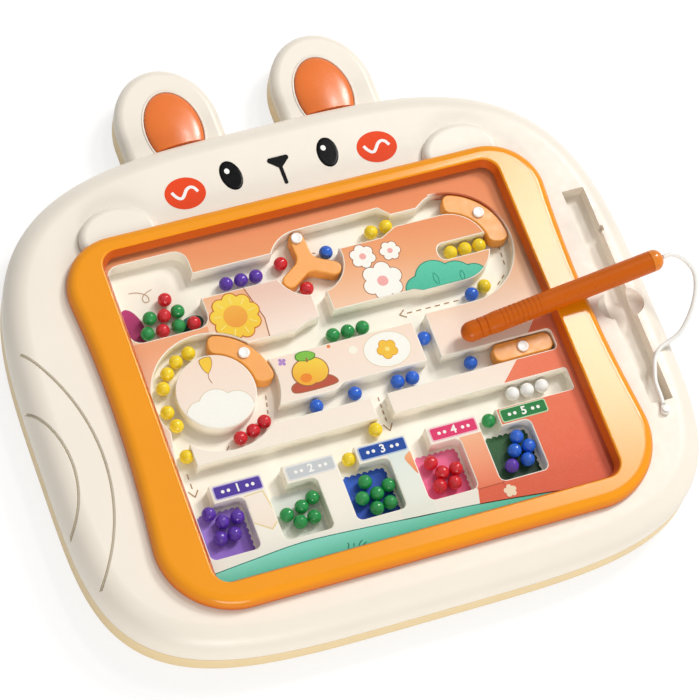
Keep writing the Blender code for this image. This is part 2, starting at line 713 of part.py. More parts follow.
def make_bezel():
    """Orange frame that stands on the casing and holds the cover down."""
    low = BODY_TOP_Z + GAP
    bezel = round_rim(flat("bezel_frame", bezel_outline(), low, BEZEL_TOP_Z),
                      BEZEL_TOP_Z, BEZEL_EDGE_R, 4)
    rebate = flat("rebate", centred_box(WINDOW_HALF_W + TRAY_MARGIN + GAP,
                                        WINDOW_HALF_H + TRAY_MARGIN + GAP, TRAY_CORNER_R + GAP),
                  low - OVERRUN, COVER_TOP_Z + GAP)
    window = flat("window", centred_box(WINDOW_HALF_W, WINDOW_HALF_H, WINDOW_CORNER_R),
                  COVER_TOP_Z, BEZEL_TOP_Z + GAP)
    shrink_w = (WINDOW_HALF_W - WINDOW_SLOPE) / WINDOW_HALF_W
    shrink_h = (WINDOW_HALF_H - WINDOW_SLOPE) / WINDOW_HALF_H
    for vert in window.data.vertices:
        if vert.co.z < BEZEL_TOP_Z:
            vert.co.x *= shrink_w
            vert.co.y *= shrink_h
    cut(bezel, rebate, window)
    return dress(bezel, BEZEL_ORANGE, 0.3)


def make_cover():
    """Clear sheet over the maze, on the tray's rim and under the bezel."""
    cover = flat("clear_cover", centred_box(WINDOW_HALF_W + TRAY_MARGIN, WINDOW_HALF_H + TRAY_MARGIN,
                                            TRAY_CORNER_R), COVER_LOW_Z, COVER_TOP_Z)
    return dress(cover, WHITE, 0.05, alpha=0.15)


def make_paw(name, side):
    """Half-round pad that seems to hold the bezel's upper edge."""
    low = BODY_TOP_Z + GAP
    outline = ellipse(PAW_HALF_W, PAW_HALF_H, 32, (side * (WINDOW_HALF_W - PAW_INSET), BEZEL_UP))
    paw = round_rim(flat(name, outline, low, low + PAW_T), low + PAW_T, PAW_EDGE_R, 4)
    cut(paw, flat("keep", bezel_outline(GAP), BODY_TOP_Z - OVERRUN, BEZEL_TOP_Z))
    return dress(paw, CREAM)


# Maze tray

def channel(name, shares, radius):
    """A cutter for a straight-sided channel, from two corners or a whole outline."""
    points = [window_point(share) for share in shares]
    if len(points) == 2:
        corners = box_corners(points[0], points[1], radius)
    else:
        corners = [(x, y, radius) for x, y in points]
    return flat(name, rounded(corners, 3), CHANNEL_Z, ISLAND_Z + OVERRUN)


def place_flat(piece, centre):
    """Shift a flat piece that was drawn about the origin to its centre."""
    piece.data.transform(Matrix.Translation((*centre, 0)))
    return piece


def ring_tool():
    """The round channel about the disc island."""
    centre = window_point(RING_SHARE)
    ring = cylinder("ring", RING_OUTER_R, CHANNEL_Z, ISLAND_Z + OVERRUN, centre, 48)
    island = cylinder("disc", RING_INNER_R, CHANNEL_Z - OVERRUN, ISLAND_Z + OVERRUN * 2, centre, 36)
    return cut(ring, island)


def loop_tool():
    """The half-round channel at the right-hand end of the upper block."""
    outline = arc(LOOP_OUTER_R, -90, 90, 24) + arc(LOOP_INNER_R, 90, -90, 18)
    return place_flat(flat("loop", outline, CHANNEL_Z, ISLAND_Z + OVERRUN), window_point(LOOP_SHARE))


def cup_left(index):
    return (CUP_LEFT_SHARE + index * CUP_PITCH_SHARE) * WINDOW_HALF_W


def cup_tools(index):
    """One sorting cup and the gate above its left-hand side."""
    left = cup_left(index)
    top = CUP_TOP_SHARE * WINDOW_HALF_H
    corners = box_corners((left, top - CUP_H), (left + CUP_W, top), POCKET_CORNER_R / 2)
    cup = flat("cup", rounded(corners, 3), CHANNEL_Z, ISLAND_Z + OVERRUN)
    low, high = (share * WINDOW_HALF_H for share in CUP_GATE_SHARES)
    gate = flat("gate", rounded(box_corners((left, low), (left + CUP_GATE_W, high), 0)),
                CHANNEL_Z, ISLAND_Z + OVERRUN)
    return cup, gate


def make_maze_board():
    """Moulded tray: a flat top cut by bead channels, pockets and five sorting cups."""
    half_w = WINDOW_HALF_W + TRAY_MARGIN
    half_h = WINDOW_HALF_H + TRAY_MARGIN
    board = flat("maze_board", centred_box(half_w, half_h, TRAY_CORNER_R), TRAY_LOW_Z,
                 COVER_LOW_Z - RIM_DROP)
    lowered = flat("lowered", centred_box(half_w - WALL / 2, half_h - WALL / 2, TRAY_CORNER_R),
                   ISLAND_Z, COVER_LOW_Z)
    network = channel("network", MIDDLE_CHANNEL_SHARES, CHANNEL_CORNER_R)
    tools = [
        channel("heap", HEAP_POCKET_SHARES, POCKET_CORNER_R),
        channel("upper", UPPER_CHANNEL_SHARES, 0),
        cylinder("arena", ARENA_R, CHANNEL_Z, ISLAND_Z + OVERRUN, window_point(ARENA_SHARE), 36),
        channel("top", TOP_CHANNEL_SHARES, CHANNEL_CORNER_R),
        loop_tool(),
        ring_tool(),
        channel("link", LINK_CHANNEL_SHARES, 0),
        channel("left", LEFT_CHANNEL_SHARES, 0),
        channel("lower", LOWER_CHANNEL_SHARES, SLOT_END_R / 2),
        channel("drop", DROP_CHANNEL_SHARES, 0),
        channel("sorting", SORTING_CHANNEL_SHARES, CHANNEL_CORNER_R),
        channel("garage", GARAGE_SHARES, CHANNEL_CORNER_R * 3),
    ]
    for index in range(CUP_COUNT):
        tools.extend(cup_tools(index))
    cut(board, lowered, network, *tools)
    return dress(board, FLOOR_CREAM)


# Levers

def stud(name, centre):
    """White button on a lever, pegged into it."""
    top = LEVER_TOP_Z + STUD_RISE
    piece = round_rim(cylinder(name, STUD_R, LEVER_TOP_Z + GAP, top, steps=18), top, STUD_EDGE_R, 1)
    peg = cylinder("peg", STUD_PEG_R, LEVER_TOP_Z - STUD_PEG_DEPTH, LEVER_TOP_Z + GAP * 2, steps=10)
    join(piece, peg)
    place_flat(piece, centre)
    return dress(piece, WHITE, 0.3)


def peg_hole(centre):
    return cylinder("peg_hole", STUD_PEG_R + GAP, LEVER_TOP_Z - STUD_PEG_DEPTH - GAP,
                    LEVER_TOP_Z + OVERRUN, centre, 10)


def lever(name, outline, stud_centre, *bores):
    """A lever that fills the depth of its channel, and its stud."""
    piece = round_rim(flat(name, outline, LEVER_LOW_Z, LEVER_TOP_Z), LEVER_TOP_Z, STUD_EDGE_R * 2, 2)
    cut(piece, peg_hole(stud_centre), *bores)
    dress(piece, LEVER_ORANGE)
    return [piece, stud(name + "_stud", stud_centre)]


def curved_gate(name, inner, outer, span):
    """A curved gate between two walls of a round channel, drawn about the channel's centre."""
    low, high = span
    outline = []
    inner = inner + SLIDE_GAP
    outer = outer - SLIDE_GAP
    middle = (inner + outer) / 2
    inset_out = math.degrees(GATE_CORNER_R / outer)
    inset_in = math.degrees(GATE_CORNER_R / inner)
    outline += arc(outer, low + inset_out, high - inset_out, 14)
    outline += [(middle * math.cos(math.radians(high)), middle * math.sin(math.radians(high)))]
    outline += arc(inner, high - inset_in, low + inset_in, 12)
    outline += [(middle * math.cos(math.radians(low)), middle * math.sin(math.radians(low)))]
    outline = soften(outline, (15, 29))
    turn = math.radians((low + high) / 2)
    return lever(name, outline, (middle * math.cos(turn), middle * math.sin(turn)))


def soften(outline, ends):
    """Round a gate's two end points into short curves."""
    points = []
    for index, point in enumerate(outline):
        if index in ends:
            before = Vector(outline[index - 1])
            after = Vector(outline[(index + 1) % len(outline)])
            tip = Vector(point)
            for share in (0.25, 0.5, 0.75):
                first = before.lerp(tip, share)
                second = tip.lerp(after, share)
                bulge = (tip - (before + after) / 2) * (1 - abs(2 * share - 1)) * 0.5
                points.append(tuple(first.lerp(second, share) + bulge))
        else:
            points.append(point)
    return points


def move_to(pieces, centre):
    for piece in pieces:
        piece.location = (*centre, 0)


def rotor_outline():
    """The rotor's arms about the origin, with a fillet between each two of them."""
    reach = ARENA_R - ARM_TIP_GAP
    tip_r = ARM_HALF_W * 0.95
    half_pitch = math.pi / ARM_COUNT
    root = ARM_HALF_W / math.tan(half_pitch)
    corners = []
    for index in range(ARM_COUNT):
        turn = math.radians(ARM_REST_DEG) + 2 * half_pitch * index
        spin = Matrix.Rotation(turn, 2)
        for x, y, radius in ((reach, -ARM_HALF_W, tip_r), (reach, ARM_HALF_W, tip_r),
                             (root, ARM_HALF_W, ARM_FILLET_R)):
            corners.append((*(spin @ Vector((x, y))), radius))
    return rounded(corners)


def make_rotor():
    """Three-armed spinner in the round arena, its stud and its pivot."""
    bore = cylinder("bore", PIVOT_R + GAP, LEVER_LOW_Z - OVERRUN, LEVER_TOP_Z - GAP * 4, steps=16)
    pieces = lever("rotor", rotor_outline(), polar((0, 0), ROTOR_STUD_ORBIT, ARM_REST_DEG), bore)
    pivot = cylinder("rotor_pivot", PIVOT_R, CHANNEL_Z + GAP, LEVER_TOP_Z - GAP * 5, steps=16)
    dress(pivot, STEEL, 0.3, 1.0)
    move_to((*pieces, pivot), window_point(ARENA_SHARE))


def make_gates():
    """The two curved gates and the straight slider."""
    ring = curved_gate("ring_gate", RING_INNER_R, RING_OUTER_R, RING_GATE_DEG)
    move_to(ring, window_point(RING_SHARE))
    loop = curved_gate("loop_gate", LOOP_INNER_R, LOOP_OUTER_R, LOOP_GATE_DEG)
    move_to(loop, window_point(LOOP_SHARE))
    right, high = window_point(LOWER_CHANNEL_SHARES[2])
    low = window_point(LOWER_CHANNEL_SHARES[1])[1]
    half_h = (high - low) / 2 - SLIDE_GAP
    outline = rounded(box_corners((-SLIDER_LENGTH / 2, -half_h), (SLIDER_LENGTH / 2, half_h),
                                  half_h * SLIDER_CORNER_SHARE), 5)
    slider = lever("slider_gate", outline, (0, 0))
    move_to(slider, (right - SLIDE_GAP - SLIDER_LENGTH / 2, (low + high) / 2))


# Beads

def bead(name, place, colour):
    """One glossy bead on the channel floor, its origin at its centre."""
    bpy.ops.mesh.primitive_ico_sphere_add(subdivisions=2, radius=BEAD_R)
    piece = claim(name)
    piece.location = (*place, BEAD_Z)
    bpy.context.view_layer.update()
    return dress(piece, BEAD_COLOURS[colour], 0.15)


def row_places(share, count=ROW_COUNT):
    """Centres of a row of loose beads about its middle."""
    x, y = window_point(share)
    pitch = 2 * BEAD_R + BEAD_SPACE
    return [(x + (index - (count - 1) / 2) * pitch, y) for index in range(count)]


def pile(name, centre, rows, colour):
    """Beads that lie against each other, joined into one solid."""
    pitch = 2 * BEAD_R * PILE_PITCH_SHARE
    beads = []
    for level, count in enumerate(rows):
        y = centre[1] + level * pitch * math.sin(math.radians(60))
        for index in range(count):
            x = centre[0] + (index - (count - 1) / 2) * pitch
            beads.append(bead(name if not beads else "more", (x, y), colour))
    if len(beads) > 1:
        join(beads[0], *beads[1:])
    return dress(beads[0], BEAD_COLOURS[colour], 0.15)


def make_beads():
    """The beads that levers push, the loose rows, and the heaps in pocket and cups."""
    arena = window_point(ARENA_SHARE)
    hub = axis_empty("arena_axis", arena)
    orbit = ARENA_R - BEAD_R - BEAD_LIFT * 9
    for index, (degrees, colour) in enumerate(zip(ARENA_BEAD_DEG, ("blue", "red", "red"))):
        ball = bead("arena_bead_%d" % (index + 1), polar(arena, orbit, degrees), colour)
        hang_on(ball, hub)
    ring = window_point(RING_SHARE)
    hub = axis_empty("ring_axis", ring)
    orbit = (RING_INNER_R + RING_OUTER_R) / 2
    for index, degrees in enumerate(RING_BEAD_DEG):
        ball = bead("ring_bead_%d" % (index + 1), polar(ring, orbit, degrees), "yellow")
        hang_on(ball, hub)
    rows = (("purple", UPPER_ROW_SHARE), ("green", MIDDLE_ROW_SHARE), ("white", SORTING_ROW_SHARE))
    for colour, share in rows:
        for index, place in enumerate(row_places(share)):
            bead("%s_bead_%d" % (colour, index + 1), place, colour)
    bead("pushed_bead", window_point(PUSHED_BEAD_SHARE), "blue")
    for index, share in enumerate(LOWER_BEAD_SHARES):
        bead("blue_bead_%d" % (index + 1), window_point(share), "blue")
    pile("garage_beads", window_point(GARAGE_ROW_SHARE), (ROW_COUNT,), "yellow")
    pile("heap_beads", window_point(HEAP_SHARE), HEAP_ROWS, "red")
    for index, colour in enumerate(("purple", "green", "green", "red", "blue")):
        middle = cup_left(index) + CUP_W / 2
        foot = CUP_TOP_SHARE * WINDOW_HALF_H - CUP_H * (1 - PILE_FOOT_SHARE) + BEAD_R
        pile("cup_beads_%d" % (index + 1), (middle, foot), CUP_PILE_ROWS[index], colour)


# Pen and tether

def pen_lean():
    """Height of the tip's pole and the pen's slope, with its tip on the cover and its body on the bezel."""
    reach = (WINDOW_HALF_W - PEN_TIP_X) / math.cos(math.radians(PEN_YAW_DEG))
    slope = 0
    for _ in range(12):
        height = COVER_TOP_Z + GAP + PEN_TIP_R * (1 - math.sin(slope))
        rise = BEZEL_TOP_Z + GAP + PEN_R / math.cos(slope) - height
        slope = math.atan(rise / reach)
    return height, slope


def pen_matrix():
    """Pen frame: origin on its tip, +Z along the pen towards its tail."""
    height, slope = pen_lean()
    yaw = Matrix.Rotation(math.radians(PEN_YAW_DEG), 4, "Z")
    pitch = Matrix.Rotation(math.pi / 2 - slope, 4, "Y")
    return Matrix.Translation((PEN_TIP_X, PEN_TIP_Y, height)) @ yaw @ pitch


def pen_end(radius, length, height, way, steps=5):
    """Profile of a rounded end, from its pole to its full radius."""
    points = []
    for step in range(steps + 1):
        turn = math.pi / 2 * step / steps
        points.append((radius * math.sin(turn), height + way * length * math.cos(turn)))
    return points


def make_pen():
    """Magnetic pen: tip cap, magnet, ribbed body and tail cap, all turned about one axis."""
    frame = pen_matrix()
    tail_z = PEN_LENGTH - TAIL_CAP_LENGTH
    body = [(0, tail_z - GAP), (PEN_R, tail_z - GAP)]
    grip_end = GRIP_FROM_TIP + GRIP_RIB_COUNT * GRIP_PITCH
    for index in range(GRIP_RIB_COUNT):
        top = grip_end - index * GRIP_PITCH
        body += [(PEN_R, top), (PEN_R - GRIP_DEPTH, top - GRIP_PITCH / 4),
                 (PEN_R - GRIP_DEPTH, top - GRIP_PITCH / 2), (PEN_R, top - GRIP_PITCH * 3 / 4)]
    cap_z = TIP_CAP_LENGTH + GAP
    body += [(PEN_TIP_R, cap_z), (MAGNET_R + GAP, cap_z),
             (MAGNET_R + GAP, cap_z + MAGNET_LENGTH + GAP), (0, cap_z + MAGNET_LENGTH + GAP)]
    pieces = [dress(turned("pen_body", body, PEN_STEPS), PEN_ORANGE, 0.3)]
    tip = [(0, TIP_CAP_LENGTH), (PEN_TIP_R, TIP_CAP_LENGTH)]
    groove = TIP_GROOVE_FROM_TIP
    tip += [(PEN_TIP_R, groove + GRIP_DEPTH), (PEN_TIP_R - GRIP_DEPTH, groove),
            (PEN_TIP_R, groove - GRIP_DEPTH)]
    tip += list(reversed(pen_end(PEN_TIP_R, PEN_TIP_R, PEN_TIP_R, -1)))
    pieces.append(dress(turned("pen_tip_cap", tip, PEN_STEPS), PEN_ORANGE, 0.3))
    magnet = [(0, cap_z + MAGNET_LENGTH), (MAGNET_R, cap_z + MAGNET_LENGTH),
              (MAGNET_R, cap_z), (0, cap_z)]
    pieces.append(dress(turned("pen_magnet", magnet, 12), STEEL, 0.3, 1.0))
    dome = TAIL_CAP_LENGTH * TAIL_DOME_SHARE
    tail = pen_end(PEN_R, dome, PEN_LENGTH - dome, 1) + [(PEN_R, tail_z), (0, tail_z)]
    pieces.append(dress(turned("pen_tail_cap", tail, PEN_STEPS), BEZEL_ORANGE, 0.25))
    for piece in pieces:
        piece.matrix_world = frame


def smooth_route(route, per_span):
    """Points along a smooth curve through the route's own points."""
    ends = [route[0]] + list(route) + [route[-1]]
    knots = [Vector(point) for point in ends]
    points = []
    for index in range(1, len(knots) - 2):
        a, b, c, d = knots[index - 1:index + 3]
        for step in range(per_span):
            t = step / per_span
            points.append(((2 * b) + (c - a) * t + (2 * a - 5 * b + 4 * c - d) * t ** 2
                           + (3 * b - a - 3 * c + d) * t ** 3) / 2)
    points.append(knots[-1])
    return points


def cord_route():
    """The tether's route from its anchor, drawn out to meet the pen's tail."""
    foot = Vector((ANCHOR_X, ANCHOR_Y, BODY_TOP_Z))
    tail = pen_matrix() @ Vector((0, 0, PEN_LENGTH + GAP))
    miss = tail - foot - Vector(CORD_STEPS[-1])
    last = len(CORD_STEPS) - 1
    return [foot + Vector(step) + miss * (index / last) for index, step in enumerate(CORD_STEPS)]


def make_tether():
    """Thin cord from its anchor below the pen slot to the pen's tail, and the anchor."""
    curve = bpy.data.curves.new("tether_cord", "CURVE")
    curve.dimensions = "3D"
    curve.bevel_depth = CORD_R
    curve.bevel_resolution = 2
    curve.use_fill_caps = True
    spline = curve.splines.new("POLY")
    points = smooth_route(cord_route(), CORD_POINTS_PER_SPAN)
    spline.points.add(len(points) - 1)
    for point, place in zip(spline.points, points):
        point.co = (*place, 1)
    holder = bpy.data.objects.new("tether_line", curve)
    parts.objects.link(holder)
    dress(as_mesh(holder, "tether_cord"), WHITE, 0.4)
    low = BODY_TOP_Z + GAP
    anchor = cylinder("cord_anchor", ANCHOR_R, low, low + ANCHOR_H, (ANCHOR_X, ANCHOR_Y), 20)
    dress(round_rim(anchor, low + ANCHOR_H, ANCHOR_H / 3, 2), CREAM)


make_back_shell()
make_front_shell()
for ear_side, ear_name in ((-1, "ear_insert_left"), (1, "ear_insert_right")):
    make_ear_insert(ear_name, ear_side)
for number, screw_place in enumerate(screw_spots()):
    make_screw(number + 1, screw_place)
make_bezel()
make_cover()
for paw_side, paw_name in ((-1, "paw_left"), (1, "paw_right")):
    make_paw(paw_name, paw_side)
make_maze_board()
make_rotor()
make_gates()
make_beads()
make_pen()
make_tether()
bpy.context.view_layer.update()
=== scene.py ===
"""Looks of the magnetic maze board: finer pieces, prints, beads, materials, light and camera."""
import json
import math

import bmesh
import bpy
from mathutils import Matrix, Quaternion, Vector

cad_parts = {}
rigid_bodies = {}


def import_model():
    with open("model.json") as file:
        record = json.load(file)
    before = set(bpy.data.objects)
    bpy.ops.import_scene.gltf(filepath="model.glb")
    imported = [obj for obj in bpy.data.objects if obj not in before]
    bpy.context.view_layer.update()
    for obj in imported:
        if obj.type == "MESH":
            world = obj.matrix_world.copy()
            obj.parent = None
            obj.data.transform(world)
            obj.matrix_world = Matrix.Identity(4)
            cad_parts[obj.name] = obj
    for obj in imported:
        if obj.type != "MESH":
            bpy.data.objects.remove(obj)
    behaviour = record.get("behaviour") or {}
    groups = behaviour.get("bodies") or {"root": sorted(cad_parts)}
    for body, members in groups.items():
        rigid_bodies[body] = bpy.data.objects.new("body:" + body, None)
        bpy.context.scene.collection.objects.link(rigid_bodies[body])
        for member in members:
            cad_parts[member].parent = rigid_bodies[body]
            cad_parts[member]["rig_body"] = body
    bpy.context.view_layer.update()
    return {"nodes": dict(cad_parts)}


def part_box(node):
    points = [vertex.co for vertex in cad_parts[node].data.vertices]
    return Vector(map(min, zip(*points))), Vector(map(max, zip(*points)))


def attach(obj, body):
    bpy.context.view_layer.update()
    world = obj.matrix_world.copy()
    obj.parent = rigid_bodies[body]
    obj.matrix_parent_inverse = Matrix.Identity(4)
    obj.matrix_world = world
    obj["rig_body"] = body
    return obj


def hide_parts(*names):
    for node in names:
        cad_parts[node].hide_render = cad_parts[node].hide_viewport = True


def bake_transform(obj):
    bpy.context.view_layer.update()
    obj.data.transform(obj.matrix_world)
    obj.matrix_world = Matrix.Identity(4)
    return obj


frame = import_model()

# Sizes repeated from the part's source, in metres
GAP = 0.0003
SLIDE_GAP = 0.0006
OVERRUN = 0.001
WINDOW_HALF_W = 0.102
WINDOW_HALF_H = 0.0886
WINDOW_CORNER_R = 0.0085
WINDOW_SLOPE = 0.0022
BODY_HALF_W = 0.15625
BODY_UP = 0.1448
BODY_DOWN = 0.1188
BODY_CENTRE_X = -0.0014
BODY_CENTRE_Y = -0.0028
BODY_UP_POWER = 3.5
BODY_DOWN_POWER = 4.1
BODY_TOP_Z = 0.029
BODY_EDGE_R = 0.012
SEAM_Z = 0.013
BACK_EDGE_R = 0.003
EAR_X = 0.0408
EAR_HALF_W = 0.0262
EAR_ROUND_Y = 0.1555
EAR_ROUND_H = 0.0325
EAR_ROOT_Y = 0.120
EAR_TOP_Z = 0.0185
EAR_EDGE_R = 0.0048
INSERT_X = 0.0394
INSERT_Y = 0.152
INSERT_HALF_W = 0.0139
INSERT_HALF_H = 0.0208
INSERT_RECESS = 0.0011
INSERT_PROUD = 0.0013
TRAY_MARGIN = 0.0026
TRAY_CORNER_R = 0.006
TRAY_FLOOR = 0.0015
RIM_DROP = 0.0003
ISLAND_Z = 0.028
CHANNEL_Z = 0.0203
TRAY_LOW_Z = CHANNEL_Z - TRAY_FLOOR
COVER_LOW_Z = 0.029
COVER_TOP_Z = 0.0305
BEZEL_TOP_Z = 0.036
BEZEL_EDGE_R = 0.0050
BEZEL_CORNERS = ((0.1274, -0.1005, 0.036), (0.1172, 0.008, 0.650), (0.1240, 0.097, 0.027))
PAW_X = 0.0883
PAW_Y = 0.097
PAW_HALF_W = 0.0195
PAW_HALF_H = 0.0155
PAW_T = 0.0046
PAW_EDGE_R = 0.0036
ARENA_R = 0.0176
RING_OUTER_R = 0.0304
RING_INNER_R = 0.0193
LOOP_OUTER_R = 0.0300
LOOP_INNER_R = 0.0186
ARENA_SHARE = (-0.044, 0.688)
RING_SHARE = (-0.676, 0.085)
LOOP_SHARE = (0.655, 0.559)
CHANNEL_CORNER_R = 0.0012
POCKET_CORNER_R = 0.006
LOWER_CHANNEL = (
    (-0.490, -0.172), (0.951, -0.172), (0.951, -0.050), (-0.088, -0.050), (-0.137, -0.081),
    (-0.490, -0.081),
)
CHANNELS = (
    (POCKET_CORNER_R, ((-0.975, 0.466), (-0.590, 0.937))),
    (0, ((-0.637, 0.634), (-0.040, 0.786))),
    (CHANNEL_CORNER_R, (
        (-0.044, 0.722), (0.343, 0.722), (0.426, 0.769), (0.655, 0.769), (0.655, 0.897),
        (0.608, 0.875), (0.559, 0.839), (0.426, 0.839), (0.377, 0.897), (-0.044, 0.887))),
    (CHANNEL_CORNER_R, (
        (0.655, 0.349), (0.441, 0.349), (0.397, 0.370), (-0.008, 0.370), (-0.008, 0.530),
        (-0.081, 0.530), (-0.081, 0.356), (-0.147, 0.345), (-0.216, 0.312), (-0.471, 0.312),
        (-0.471, 0.192), (0.402, 0.192), (0.402, 0.221), (0.655, 0.221))),
    (0, ((0.330, -0.100), (0.402, 0.225))),
    (0, ((-0.941, -0.068), (-0.974, -0.305), (-0.974, -0.474), (-0.880, -0.474),
         (-0.880, -0.068))),
    (0.00225, LOWER_CHANNEL),
    (0, ((0.006, -0.320), (0.086, -0.160))),
    (CHANNEL_CORNER_R, ((-0.974, -0.423), (0.949, -0.297))),
    (CHANNEL_CORNER_R * 3, ((0.578, 0.499), (0.863, 0.598))),
)
CUP_COUNT = 5
CUP_LEFT_SHARE = -0.967
CUP_PITCH_SHARE = 0.354
CUP_TOP_SHARE = -0.526
CUP_GATE_SHARES = (-0.545, -0.400)
CUP_W = 0.0244
CUP_H = 0.0267
CUP_GATE_W = 0.0102
LEVER_TOP_Z = 0.0274
LEVER_LOW_Z = 0.0209
STUD_R = 0.0028
STUD_RISE = 0.0013
ARM_HALF_W = 0.0038
ARM_FILLET_R = 0.006
ARM_TIP_GAP = 0.0007
ARM_REST_DEG = 93.0
ROTOR_STUD_ORBIT = 0.0136
RING_GATE_DEG = (-2.5, 81.5)
LOOP_GATE_DEG = (-6.5, 81.5)
SLIDER_LENGTH = 0.0305
BEAD_R = 0.0034
BEAD_Z = 0.0239
SLOT_X = (0.130, 0.1415)
SLOT_Y = (-0.056, 0.0635)
SLOT_DEPTH = 0.008
SCOOP = (0.136, -0.002, 0.012, 0.0085, 0.006)
NICK_Y = 0.0395
NICK_HALF = 0.0015
GROOVE_CENTRE_Y = -0.010
GROOVE_R = 0.0009
GROOVES = ((-0.2315, 0.101, 37.5), (-0.1983, 0.053, 41.0))
PEN_LENGTH = 0.1063
PEN_R = 0.0053
PEN_TIP_R = 0.0050
PEN_TIP = (0.0518, 0.0007)
PEN_YAW_DEG = 3.9
TAIL_CAP_LENGTH = 0.0065
CORD_R = 0.0011
ANCHOR = (0.1352, -0.0610)
CORD_ROUTE = (
    (0.1350, -0.0583, 0.0304), (0.1355, -0.0530, 0.0304), (0.1359, -0.0465, 0.0304),
    (0.1378, -0.0405, 0.0304), (0.1405, -0.0345, 0.0304), (0.1451, -0.0299, 0.0305),
    (0.1512, -0.0278, 0.0311), (0.1568, -0.0256, 0.0327), (0.1620, -0.0211, 0.0352),
    (0.1668, -0.0151, 0.0379), (0.1703, -0.0080, 0.0410), (0.1711, -0.0018, 0.0438),
    (0.1688, 0.0030, 0.0462), (0.1651, 0.0067, 0.0479), (0.1612, 0.0081, 0.0488),
    (0.15732, 0.00790, 0.04866),
)

# Sizes of the looks alone
INSERT_DOME = 0.0030        # rise of the ear inserts
LIP_R = 0.0006              # ridge round each insert
SEAT_R = 0.0032             # screw seats in the back
SEAT_DEPTH = 0.0027
WINDOW_EDGE_R = 0.0009      # rounding of the frame's inner edge
SHADE_LINING_T = 0.00012          # thickness of the darker sheet that paints shade on the window's wall
RIM_W = 0.0012              # the tray's raised rim
WALL_EDGE_R = 0.0005        # rounding of the islands' upper edges
PRINT_EDGE = 0.0006         # bare edge round each printed island
PRINT_T = 0.00005           # thickness of a layer of ink
LEVER_EDGE_R = 0.0008
NOTCH_W = 0.0010            # grooves and ribs of the pen
EYE = (0.0250, 0.1150)
CHEEK = (0.0497, 0.1115)
LABEL_LOW = (0.0114, -0.0455)
LABEL_HIGH = (0.0352, -0.0384)
WELD = 0.000001             # points closer than this are one
LAMP_DISTANCE = 4.0

scene = bpy.context.scene
scene.view_settings.view_transform = "Standard"


# Camera

camera = bpy.data.objects.new("camera", bpy.data.cameras.new("camera"))
scene.collection.objects.link(camera)
camera.data.lens = 172.915
camera.data.sensor_width = 36
camera.data.clip_start = 0.05
camera.data.clip_end = 20
turn = Matrix(((0.9311, -0.335, 0.1446), (0.243, 0.8648, 0.4393), (-0.2722, -0.3739, 0.8866)))
camera.matrix_world = Matrix.Translation((-0.4353, -0.5864, 1.4443)) @ turn.transposed().to_4x4()
scene.camera = camera


# Materials

def srgb(red, green, blue):
    """A colour as it shows on a screen, as linear values."""
    channels = [value / 255 for value in (red, green, blue)]
    return tuple(value / 12.92 if value <= 0.04045 else ((value + 0.055) / 1.055) ** 2.4
                 for value in channels)


def new_node(tree, kind, output=0, inputs=None, **settings):
    """Add a shader node, set or link its inputs, and give one of its outputs."""
    node = tree.nodes.new("ShaderNode" + kind)
    for key, value in settings.items():
        setattr(node, key, value)
    for key, value in (inputs or {}).items():
        if isinstance(value, bpy.types.NodeSocket):
            tree.links.new(value, node.inputs[key])
        else:
            node.inputs[key].default_value = value
    return node.outputs[output]


class Look:
    """A node material and short ways to add nodes to it."""

    def __init__(self, name, roughness=0.4, **sockets):
        self.made = bpy.data.materials.new(name)
        self.made.use_nodes = True
        self.tree = self.made.node_tree
        self.shader = self.tree.nodes["Principled BSDF"]
        self.shader.inputs["Roughness"].default_value = roughness
        for key, value in sockets.items():
            self.shader.inputs[key.replace("_", " ")].default_value = value
        self.place = self.node("TexCoord", "Object")

    def node(self, *details, **settings):
        return new_node(self.tree, *details, **settings)

    def wire(self, value, socket):
        self.tree.links.new(value, self.shader.inputs[socket])

    def noise(self, size, detail=3.0):
        """Noise whose features are about one size in metres."""
        return self.node("TexNoise", 0, {"Scale": 1 / size, "Detail": detail, "Vector": self.place})

    def spread(self, value, low, high, to_low=0.0, to_high=1.0):
        """A value spread from one range to another."""
        return self.node("MapRange", 0, {"Value": value, "From Min": low, "From Max": high,
                                         "To Min": to_low, "To Max": to_high})

    def along(self, direction):
        """Distance along a direction."""
        return self.node("VectorMath", "Value", {0: self.place, 1: direction},
                         operation="DOT_PRODUCT")

    def mixed(self, share, *colours):
        """Two colours mixed by a value, each a colour or another node's output."""
        first, second = [(*item, 1) if isinstance(item, tuple) else item for item in colours]
        return self.node("Mix", 2, {0: share, 6: first, 7: second}, data_type="RGBA")

    def drift(self, first, second):
        """Two colours that wander into each other over the surface."""
        return self.mixed(self.spread(self.noise(0.03, 2.0), 0.3, 0.7), first, second)

    def uneven(self, size, low, high):
        """Roughness that wanders between two values."""
        self.wire(self.spread(self.noise(size), 0.3, 0.7, low, high), "Roughness")

    def skin(self, low, high, relief):
        """Uneven gloss and a fine mould texture."""
        self.uneven(0.004, low, high)
        self.wire(self.node("Bump", 0, {"Distance": relief, "Strength": 0.4,
                                        "Height": self.noise(0.0005, 4.0)}), "Normal")
        return self.made


def shade(colour, factor):
    return tuple(min(1.0, channel * factor) for channel in colour)


def moulded(name, colour, gloss, drift, relief=0.00002, **sockets):
    """Moulded plastic with a slight drift of colour."""
    look = Look(name, **sockets)
    colour = srgb(*colour)
    look.wire(look.drift(shade(colour, 1 - drift), shade(colour, 1 + drift)), "Base Color")
    return look.skin(*gloss, relief)


